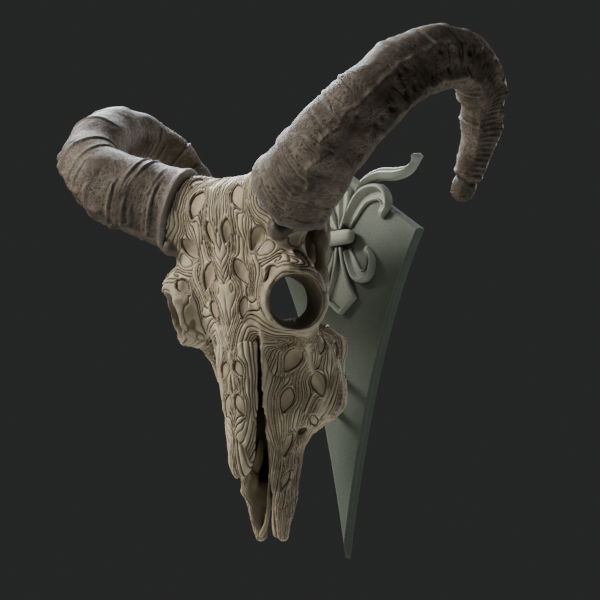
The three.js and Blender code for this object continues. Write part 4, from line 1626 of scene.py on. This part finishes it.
        pit = bell(np.linalg.norm(places - np.array(self.foramen), axis=1), self.foramen_half)
        boss = np.linalg.norm(places - np.array(self.boss), axis=1) / self.boss_half
        boss = smoothstep(1.1, 0.85, boss)
        crest = polyline_distance(places, np.array(self.fold, float))
        ridge = bell(crest, self.crest_width) * smoothstep(-0.3, 0.6, rim)
        edge = bell(gap - 0.8, 1.5) * below * smoothstep(*self.slit_front, places[:, 1])
        ridge = np.maximum(ridge, self.slit_rim * edge * (1 - hidden))

        plain = (1 - boss) * (1 - 0.8 * ridge) * (1 - pit) * share
        height = plain * (strands * smoothstep(0.0, 0.7, rim) + lens) + self.crest_height * ridge
        height += self.worn_height * Ripple(Seed.WORN_BONE, 15.0).at(places)
        height += self.worn_grain * Ripple(Seed.WORN_GRAIN, 5.0).at(places)
        height -= self.hollow_depth * hidden + self.pit_depth * pit
        # painted shade in the hollows, the pit, on the eye rims and under the horns
        inner = np.maximum.reduce(
            [hidden, 1.4 * smoothstep(0.25, 0.6, pit), self.handled(places, pattern.upper)])
        # the crest value paints a highlight along the raised fold and slit rim
        values = {"rim": rim, "over": over, **lines, "carve": plain, "inner": inner, "boss": boss,
                  "crest": ridge * (1 - pit)}
        return Surface(points + normals * height[:, None], faces, values)

    def bone_of(self, middle: np.ndarray) -> np.ndarray:
        """Number of the bone, in the order of the names, that each face belongs to.

        Args:
            middle: middles of the faces.

        Returns:
            One number for each face.
        """
        x, y, z = middle.T
        right = x < 0
        top, side, reach = self.face_seam
        seam = top + (side - top) * np.abs(x) / reach
        maxilla, premaxilla, nasal = (
            self.bones.index(f"{name}_left") for name in ("maxilla", "premaxilla", "nasal"))
        bone = np.zeros(len(middle), dtype=int)
        bone[z < seam] = maxilla
        bone[z < self.muzzle_seam] = premaxilla
        half = self.nasal_at(z, NasalColumn.HALF) + self.slit * 0.5
        end = self.nasal_rows[-1][NasalColumn.HEIGHT] - 2.0
        bone[(np.abs(x) < half) & (y < self.nasal_back(z)) & (z < seam) & (z > end)] = nasal
        front, back = self.cavity_depths
        roof = (np.abs(x) < self.cavity_half) & (y > front) & (y < back)
        bone[roof & (z > seam) & (z < self.cavity_top)] = maxilla
        bone[(bone > 0) & right] += 1
        return bone

    def close(self, piece: bpy.types.Object, normals: np.ndarray) -> None:
        """Closes a bone where its neighbours were parted from it, with caps that lie below the surface.

        Args:
            piece: bone to close.
            normals: unit normals of its vertices.
        """
        shape = bmesh.new()
        shape.from_mesh(piece.data)
        border = [edge for edge in shape.edges if edge.is_boundary]
        out = {tuple(vert.co): normals[vert.index] for edge in border for vert in edge.verts}
        grown = bmesh.ops.extrude_edge_only(shape, edges=border)["geom"]
        for vert in (item for item in grown if isinstance(item, bmesh.types.BMVert)):
            vert.co -= Vector(out[tuple(vert.co)]) * self.cap_depth * MM
        bmesh.ops.holes_fill(shape, edges=[edge for edge in shape.edges if edge.is_boundary], sides=0)
        shape.to_mesh(piece.data)
        shape.free()
        smooth = np.zeros((len(piece.data.vertices), 3))
        smooth[:len(normals)] = normals
        piece.data.normals_split_custom_set_from_vertices(smooth.tolist())

    def part(self, whole: Surface, finish: bpy.types.Material) -> None:
        """Parts the carved skin into its bones, with even shading across the joints.

        Args:
            whole: carved skin of the whole skull.
            finish: material of the bone.
        """
        normals = vertex_normals(whole.points, whole.faces)
        owner = self.bone_of(whole.points[whole.faces].mean(axis=1))
        for number, name in enumerate(self.bones):
            faces = whole.faces[owner == number]
            used, index = np.unique(faces, return_inverse=True)
            faces = index.reshape(faces.shape)
            values = {key: value[used] for key, value in whole.values.items()}
            surface = Surface(whole.points[used], [tidy_face(face) for face in faces], values)
            piece = make_object(f"carved_{name}", surface)
            self.close(piece, normals[used])
            seat(piece, finish, Slot.BONE)
            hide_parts(name)

    def build(self, nodes: dict[str, bpy.types.Object], finish: bpy.types.Material) -> None:
        """Makes the carved bones.

        Args:
            nodes: CAD nodes by name.
            finish: material of the bone.
        """
        points, faces = self.skin(self.gather(nodes))
        log.info("skin of the skull: %d faces", len(faces))
        self.part(self.carve(points, faces), finish)


@dataclass(frozen=True)
class Strip:
    """Thin bent bone: middles of its sections with the half sizes in depth and in height."""

    name: str
    rows: tuple[tuple[float, float, float, float, float], ...]
    # share of painted shade on the thin bone, which lies deep in the nose
    inner: float
    up: Point = (0.0, -0.55, 0.83)
    blends: int = 6
    blunt: int = 10
    steps: int = 40
    sides: int = 18

    def surface(self, side: Side) -> Surface:
        """Closed tube with oval sections and rounded ends.

        Args:
            side: half that the bone stands on.

        Returns:
            Surface of the bone.
        """
        table = np.array(self.rows, float)
        t = np.linspace(0.0, 1.0, self.steps)
        place = 0.5 - 0.5 * np.cos(np.pi * t)
        knots = np.linspace(0.0, 1.0, len(table))
        *line, deep, tall = (np.interp(place, knots, column) for column in table.T)
        middle = np.stack(line, axis=1)
        for _ in range(self.blends):
            middle[1:-1] = 0.25 * middle[:-2] + 0.5 * middle[1:-1] + 0.25 * middle[2:]
        taper = np.sqrt(np.clip(1.0 - np.abs(2.0 * place - 1.0) ** self.blunt, 0.02, 1.0))
        axis = np.gradient(middle, axis=0)
        axis /= np.linalg.norm(axis, axis=1, keepdims=True)
        across = np.cross(axis, np.array(self.up))
        across /= np.linalg.norm(across, axis=1, keepdims=True)
        over = np.cross(across, axis)
        angle = np.linspace(0.0, 2 * math.pi, self.sides, endpoint=False)
        ring = (np.cos(angle)[None, :, None] * (across * (deep * taper)[:, None])[:, None]
                + np.sin(angle)[None, :, None] * (over * (tall * taper)[:, None])[:, None])
        points = (middle[:, None] + ring).reshape(-1, 3)
        faces = tube_faces(self.steps, self.sides)
        faces.append(tuple(range(self.sides))[::-1])
        faces.append(tuple(range((self.steps - 1) * self.sides, self.steps * self.sides)))
        return Surface(points, faces, {"inner": np.full(len(points), self.inner)}).on(side)


@dataclass
class NoseBones:
    """Thin bones of the nose: a prong beside the midline and a scroll in the cavity on either side."""

    strips: tuple[Strip, ...] = (
        Strip("palate_prong", (
            (2.3, -76.6, -156, 1.3, 1.7), (2.3, -77.8, -170, 1.2, 1.5), (2.4, -78.6, -181, 1.1, 1.4),
            (3.2, -79.8, -190, 1.2, 1.5), (6.6, -81.4, -197, 1.8, 2.0)), 0.35),
        Strip("nose_scroll", (
            (8.2, -90.0, -161.5, 0.7, 1.6), (8.0, -87.5, -159.5, 0.8, 2.6), (7.8, -83.5, -155, 0.9, 3.4),
            (7.4, -80.5, -146, 0.9, 3.4), (8.0, -79.0, -136, 0.8, 2.6)), 0.6),
    )

    def build(self, finish: bpy.types.Material) -> None:
        """Makes the thin bones of both halves.

        Args:
            finish: material of the bone.
        """
        for strip in self.strips:
            for side in Side:
                piece = make_object(f"{strip.name}_{side.word}", strip.surface(side))
                seat(piece, finish, Slot.BONE)


# The lily and its plaque

@dataclass
class Ribbon:
    """One member of the lily: a ribbon on the plaque with its own widths and section."""

    line: tuple[Span, ...]
    width: Callable[[np.ndarray], np.ndarray]
    section: Callable[[np.ndarray, np.ndarray], np.ndarray]
    steps: int = 84
    across: int = 44
    bed: float = 0.05

    def centre(self) -> tuple[np.ndarray, np.ndarray]:
        """Centre line as a smooth curve through its points.

        Returns:
            Points and unit directions in the plane of the plaque.
        """
        knots = np.array(self.line, float)
        knots = np.vstack([2 * knots[0] - knots[1], knots, 2 * knots[-1] - knots[-2]])
        t = np.linspace(0, len(self.line) - 1, self.steps)
        cell = np.minimum(t.astype(int), len(self.line) - 2)
        s = (t - cell)[:, None]
        a, b, c, d = (knots[cell + k] for k in range(4))
        square, cubic = 2 * a - 5 * b + 4 * c - d, 3 * b - a - 3 * c + d
        points = 0.5 * (2 * b + (c - a) * s + square * s ** 2 + cubic * s ** 3)
        way = np.gradient(points, axis=0)
        return points, way / np.linalg.norm(way, axis=1, keepdims=True)

    def surface(self, face: float, side: Side) -> Surface:
        """Closed relief that stands on the plaque.

        Args:
            face: y of the plaque's face.
            side: half that the ribbon stands on.

        Returns:
            Surface of the relief.
        """
        points, way = self.centre()
        t = np.linspace(0, 1, self.steps)
        u = np.linspace(-1, 1, self.across)
        left = np.stack([-way[:, 1], way[:, 0]], axis=1)
        half = self.width(t) / 2
        flat = points[:, None] + left[:, None] * (half[:, None] * u[None])[..., None]
        tall = self.section(np.broadcast_to(u, (self.steps, self.across)), t[:, None])
        top, foot = (np.stack([flat[..., 0], y, flat[..., 1]], axis=-1).reshape(-1, 3)
                     for y in (face - tall, np.full_like(tall, face + self.bed)))
        count = len(top)
        at = lambda i, j: i * self.across + j
        faces: list[Face] = []
        for i in range(self.steps - 1):
            for j in range(self.across - 1):
                faces.append((at(i, j), at(i, j + 1), at(i + 1, j + 1), at(i + 1, j)))
                faces.append(tuple(count + k for k in faces[-1][::-1]))
        rim = [at(0, j) for j in range(self.across)]
        rim += [at(i, self.across - 1) for i in range(1, self.steps)]
        rim += [at(self.steps - 1, j) for j in range(self.across - 2, -1, -1)]
        rim += [at(i, 0) for i in range(self.steps - 2, 0, -1)]
        for a, b in zip(rim, rim[1:] + rim[:1]):
            faces.append((b, a, a + count, b + count))
        return Surface(np.vstack([top, foot]), faces).on(side)


@dataclass
class LilyPlaque:
    """Painted plaque with the lily that stands on its face."""

    face: float = -7.3
    relief: float = 5.0
    band_half: float = 12.5
    band_height: float = 10.0
    band_relief: float = 9.0
    band_rings: int = 33
    band_sides: int = 64
    paired: tuple[str, ...] = ("scroll", "leaf", "curl")
    pins: tuple[str, ...] = ("mount_pin_upper", "mount_pin_lower")

    def rounded(self, u: np.ndarray, edge: float) -> np.ndarray:
        """Section factor that falls off roundly towards both edges."""
        return np.sqrt(np.clip(1.0 - np.abs(u) ** edge, 0.0, 1.0))

    def ends(self, t: np.ndarray, first: float, last: float) -> np.ndarray:
        """Factor that rounds the two ends of a ribbon."""
        return np.sqrt(smoothstep(-1e-6, first, t) * smoothstep(1 + 1e-6, 1 - last, t) * 0.85 + 0.15)

    def members(self) -> dict[str, Ribbon]:
        """Ribbons of the left half by the name of the node they stand for.

        Returns:
            Ribbons by name.
        """
        tall = self.relief

        def bowl(u: np.ndarray, t: np.ndarray) -> np.ndarray:
            """Thick outer wall round a hollow that closes towards the end.

            Args:
                u: places across, -1 to 1.
                t: places along, 0 to 1.

            Returns:
                Heights in millimetres.
            """
            wall = smoothstep(0.05, 0.58, u) + 0.4 * smoothstep(-0.66, -0.84, u)
            swell = 0.7 + 0.5 * smoothstep(0.1, 0.8, t)
            hollow = 0.16 + swell * wall
            shut = smoothstep(0.74, 0.93, t)
            height = tall * (hollow * (1 - shut) + 0.95 * shut)
            return height * self.rounded(u, 6.0) * self.ends(t, 0.06, 0.07)

        def leaf(u: np.ndarray, t: np.ndarray) -> np.ndarray:
            """Leaf with a sharp crest, hollowed above it, and a tip that rolls forward.

            Args:
                u: places across, -1 to 1.
                t: places along, 0 to 1.

            Returns:
                Heights in millimetres.
            """
            crest = np.where(u < 0.1, 1 - (0.1 - u) / 1.1, 1 - (u - 0.1) / 0.9)
            groove = 0.42 * bell(u - 0.5, 0.2) * smoothstep(0.12, 0.35, t) * smoothstep(0.97, 0.85, t)
            roll = 0.75 * bell(t - 0.97, 0.05)
            height = tall * (0.4 + 0.72 * crest - groove + roll)
            return height * self.rounded(u, 7.0) * self.ends(t, 0.1, 0.03)

        def bordered(width: Callable[[np.ndarray], np.ndarray], vein: float) -> Callable:
            """Section with a raised flat border round a sunken panel, with or without a vein.

            Args:
                width: width of the member along its length.
                vein: height of the vein as a share of the relief.

            Returns:
                The section.
            """
            def section(u: np.ndarray, t: np.ndarray) -> np.ndarray:
                """Height of the member at a place.

                Args:
                    u: places across, -1 to 1.
                    t: places along, 0 to 1.

                Returns:
                    Heights in millimetres.
                """
                edge = (1 - np.abs(u)) * width(t) / 2 * np.where(t > 0.79, 0.68, 1.0)
                panel = smoothstep(2.2, 2.6, edge)
                groove = 0.2 * bell(edge - 2.7, 0.5)
                ridge = vein * bell(u * width(t) / 2, 1.0)
                height = tall * (1.0 - panel * (0.72 - ridge) - groove)
                return height * self.rounded(u, 16.0) * self.ends(t, 0.02, 0.02)
            return section

        scroll = lambda t: 3 + 9 * np.sin(np.pi * np.minimum(t * 0.85 + 0.12, 1)) ** 1.2
        blade = lambda t: 2.2 + 6.5 * np.sin(np.pi * (0.08 + 0.86 * t))
        hook = lambda t: 2.6 + 6.4 * np.sin(np.pi * np.minimum(t * 0.9 + 0.1, 1))
        petal = lambda t: np.interp(t, (0, 0.31, 0.6, 0.8, 1), (4.8, 13, 18.8, 19.2, 0.6))
        lance = lambda t: np.interp(t, (0, 0.25, 0.5, 0.66, 0.78, 1), (5.2, 8.4, 14.5, 20, 25.5, 0.6))
        edge = self.band_height / 2 + 0.3
        return {
            "scroll": Ribbon(
                ((5.4, edge + 2), (9, 15), (19, 26), (32, 27), (38, 19), (33, 10)), scroll, bowl),
            "leaf": Ribbon(
                ((12.5, 23), (19, 34.5), (32, 39), (46, 37.5), (57, 39), (66, 47)), blade, leaf),
            "curl": Ribbon(
                ((5.6, -edge - 2), (8, -15), (14, -26), (22, -26), (25, -17), (21, -8)), hook,
                lambda u, t: bowl(-u, t)),
            "petal_centre": Ribbon(((0, edge), (0, 20), (0, 40)), petal, bordered(petal, 0.5)),
            "tail": Ribbon(((0, -edge), (0, -28), (0, -51)), lance, bordered(lance, 0.0)),
        }

    def band(self) -> Surface:
        """Cushion-like band that ties the petals together.

        Returns:
            Closed surface of the band.
        """
        rings, sides = self.band_rings, self.band_sides
        u, v = np.meshgrid(np.linspace(0, 2 * np.pi, sides, endpoint=False),
                           np.linspace(-np.pi / 2, np.pi / 2, rings + 2)[1:-1])
        power = lambda a, p: np.sign(a) * np.abs(a) ** p
        x = self.band_half * power(np.sin(v), 0.55)
        ring = np.abs(np.cos(v)) ** 0.42
        hub = self.face - self.band_relief / 2
        y = hub + self.band_relief / 2 * ring * power(np.cos(u), 0.75)
        z = self.band_height / 2 * ring * power(np.sin(u), 0.75)
        points = np.stack([x, y, z], axis=-1).reshape(-1, 3)
        points = np.vstack([points, [-self.band_half, hub, 0.0], [self.band_half, hub, 0.0]])
        return Surface(points, tube_faces(rings, sides) + end_fans(rings, sides))

    def build(self, nodes: dict[str, bpy.types.Object], paint: bpy.types.Material,
              pale: bpy.types.Material, steel: bpy.types.Material) -> None:
        """Makes the lily and dresses the plaque and pins.

        Args:
            nodes: CAD nodes by name.
            paint: finish of the plaque.
            pale: finish of the lily.
            steel: finish of the pins.
        """
        for name, ribbon in self.members().items():
            paired = name in self.paired
            for side in Side if paired else (Side.LEFT,):
                node = f"fleur_{name}_{side.word}" if paired else f"fleur_{name}"
                piece = make_object(node.replace("fleur", "lily"), ribbon.surface(self.face, side))
                seat(piece, pale, Slot.ORNAMENT)
                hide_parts(node)
        band = make_object("lily_band", self.band())
        seat(band, pale, Slot.ORNAMENT)
        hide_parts("fleur_band")
        dressed = {"plaque": paint, **{name: steel for name in self.pins}}
        for name, material in dressed.items():
            dress(nodes[name], material)
            log.info("%s: dressed", name)


# Studio

@dataclass(frozen=True)
class Lamp:
    """Soft square light: direction from the target, distance and side in metres, watts and colour."""

    name: str
    way: Point
    far: float
    size: float
    power: float
    colour: Colour


@dataclass
class Studio:
    """Floor, lights and camera round the part."""

    target: Point = (0.0, -51.0, -46.4)
    azimuth: float = 40.0
    elevation: float = -9.0
    distance: float = 1000.0
    lens: float = 93.6
    sensor: float = 36.0
    floor_z: float = -700.0
    floor_half: float = 6000.0
    lamps: tuple[Lamp, ...] = (
        Lamp("key", (-0.62, -0.58, 0.53), 1.05, 0.32, 12.0, (1.0, 0.955, 0.88)),
        Lamp("side", (-0.60, 0.30, 0.74), 0.85, 0.4, 17.0, (0.86, 0.93, 1.0)),
        Lamp("fill", (0.9, -0.55, 0.05), 1.8, 1.4, 0.4, (0.92, 0.96, 1.0)),
        Lamp("top", (0.24, -0.32, 0.92), 1.0, 0.4, 1.8, (0.95, 0.98, 1.0)),
        Lamp("back", (0.05, 0.96, 0.28), 1.1, 0.5, 4.0, (0.97, 0.98, 1.0)),
    )
    surround: Colour = (0.52, 0.53, 0.53)
    surround_strength: float = 0.048

    def back(self) -> Vector:
        """Direction from the target to the camera."""
        a, e = math.radians(self.azimuth), math.radians(self.elevation)
        return Vector((math.sin(a) * math.cos(e), -math.cos(a) * math.cos(e), math.sin(e)))

    def camera(self) -> None:
        """Sets the camera at the picture's viewing angle."""
        data = bpy.data.cameras.new("camera")
        data.lens = self.lens
        data.sensor_width = self.sensor
        camera = bpy.data.objects.new("camera", data)
        bpy.context.scene.collection.objects.link(camera)
        camera.location = (Vector(self.target) + self.back() * self.distance) * MM
        camera.rotation_euler = self.back().to_track_quat("Z", "Y").to_euler()
        bpy.context.scene.camera = camera

    def light(self, lamp: Lamp) -> None:
        """Adds a light that looks at the target.

        Args:
            lamp: light to add.
        """
        data = bpy.data.lights.new(lamp.name, "AREA")
        data.size = lamp.size
        data.energy = lamp.power
        data.color = lamp.colour
        light = bpy.data.objects.new(lamp.name, data)
        bpy.context.scene.collection.objects.link(light)
        toward = Vector(lamp.way).normalized()
        light.location = Vector(self.target) * MM + toward * lamp.far
        light.rotation_euler = toward.to_track_quat("Z", "Y").to_euler()

    def floor(self, finish: bpy.types.Material) -> None:
        """Lays the plain pale floor.

        Args:
            finish: material of the floor.
        """
        half = self.floor_half
        corners = np.array([(-half, -half, 0), (half, -half, 0), (half, half, 0), (-half, half, 0)], float)
        floor = make_object("floor", Surface(corners + (0, 0, self.floor_z), [(0, 1, 2, 3)]))
        dress(floor, finish)

    def build(self, finish: bpy.types.Material) -> None:
        """Sets up the camera, the floor, the lights and the surroundings.

        Args:
            finish: material of the floor.
        """
        self.camera()
        self.floor(finish)
        for lamp in self.lamps:
            self.light(lamp)
        world = bpy.data.worlds.new("studio")
        world.use_nodes = True
        background = world.node_tree.nodes["Background"]
        background.inputs["Color"].default_value = (*self.surround, 1.0)
        background.inputs["Strength"].default_value = self.surround_strength
        bpy.context.scene.world = world
        log.info("studio: %d lights", len(self.lamps))


def main() -> None:
    """Builds the dressed part."""
    logging.basicConfig(level=logging.INFO, format="%(name)s %(message)s")
    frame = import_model()
    nodes = frame["nodes"]
    effects = Effects()
    Studio().build(PaleFloor(effects).make())
    HornPair().build(RingedHorn(effects).make())
    LilyPlaque().build(
        nodes, SagePaint(effects).make(), PaleSagePaint(effects).make(), DullSteel(effects).make())
    bone = CarvedBone(effects).make()
    NoseBones().build(bone)
    CarvedSkull().build(nodes, bone)


if __name__ == "__main__":
    main()
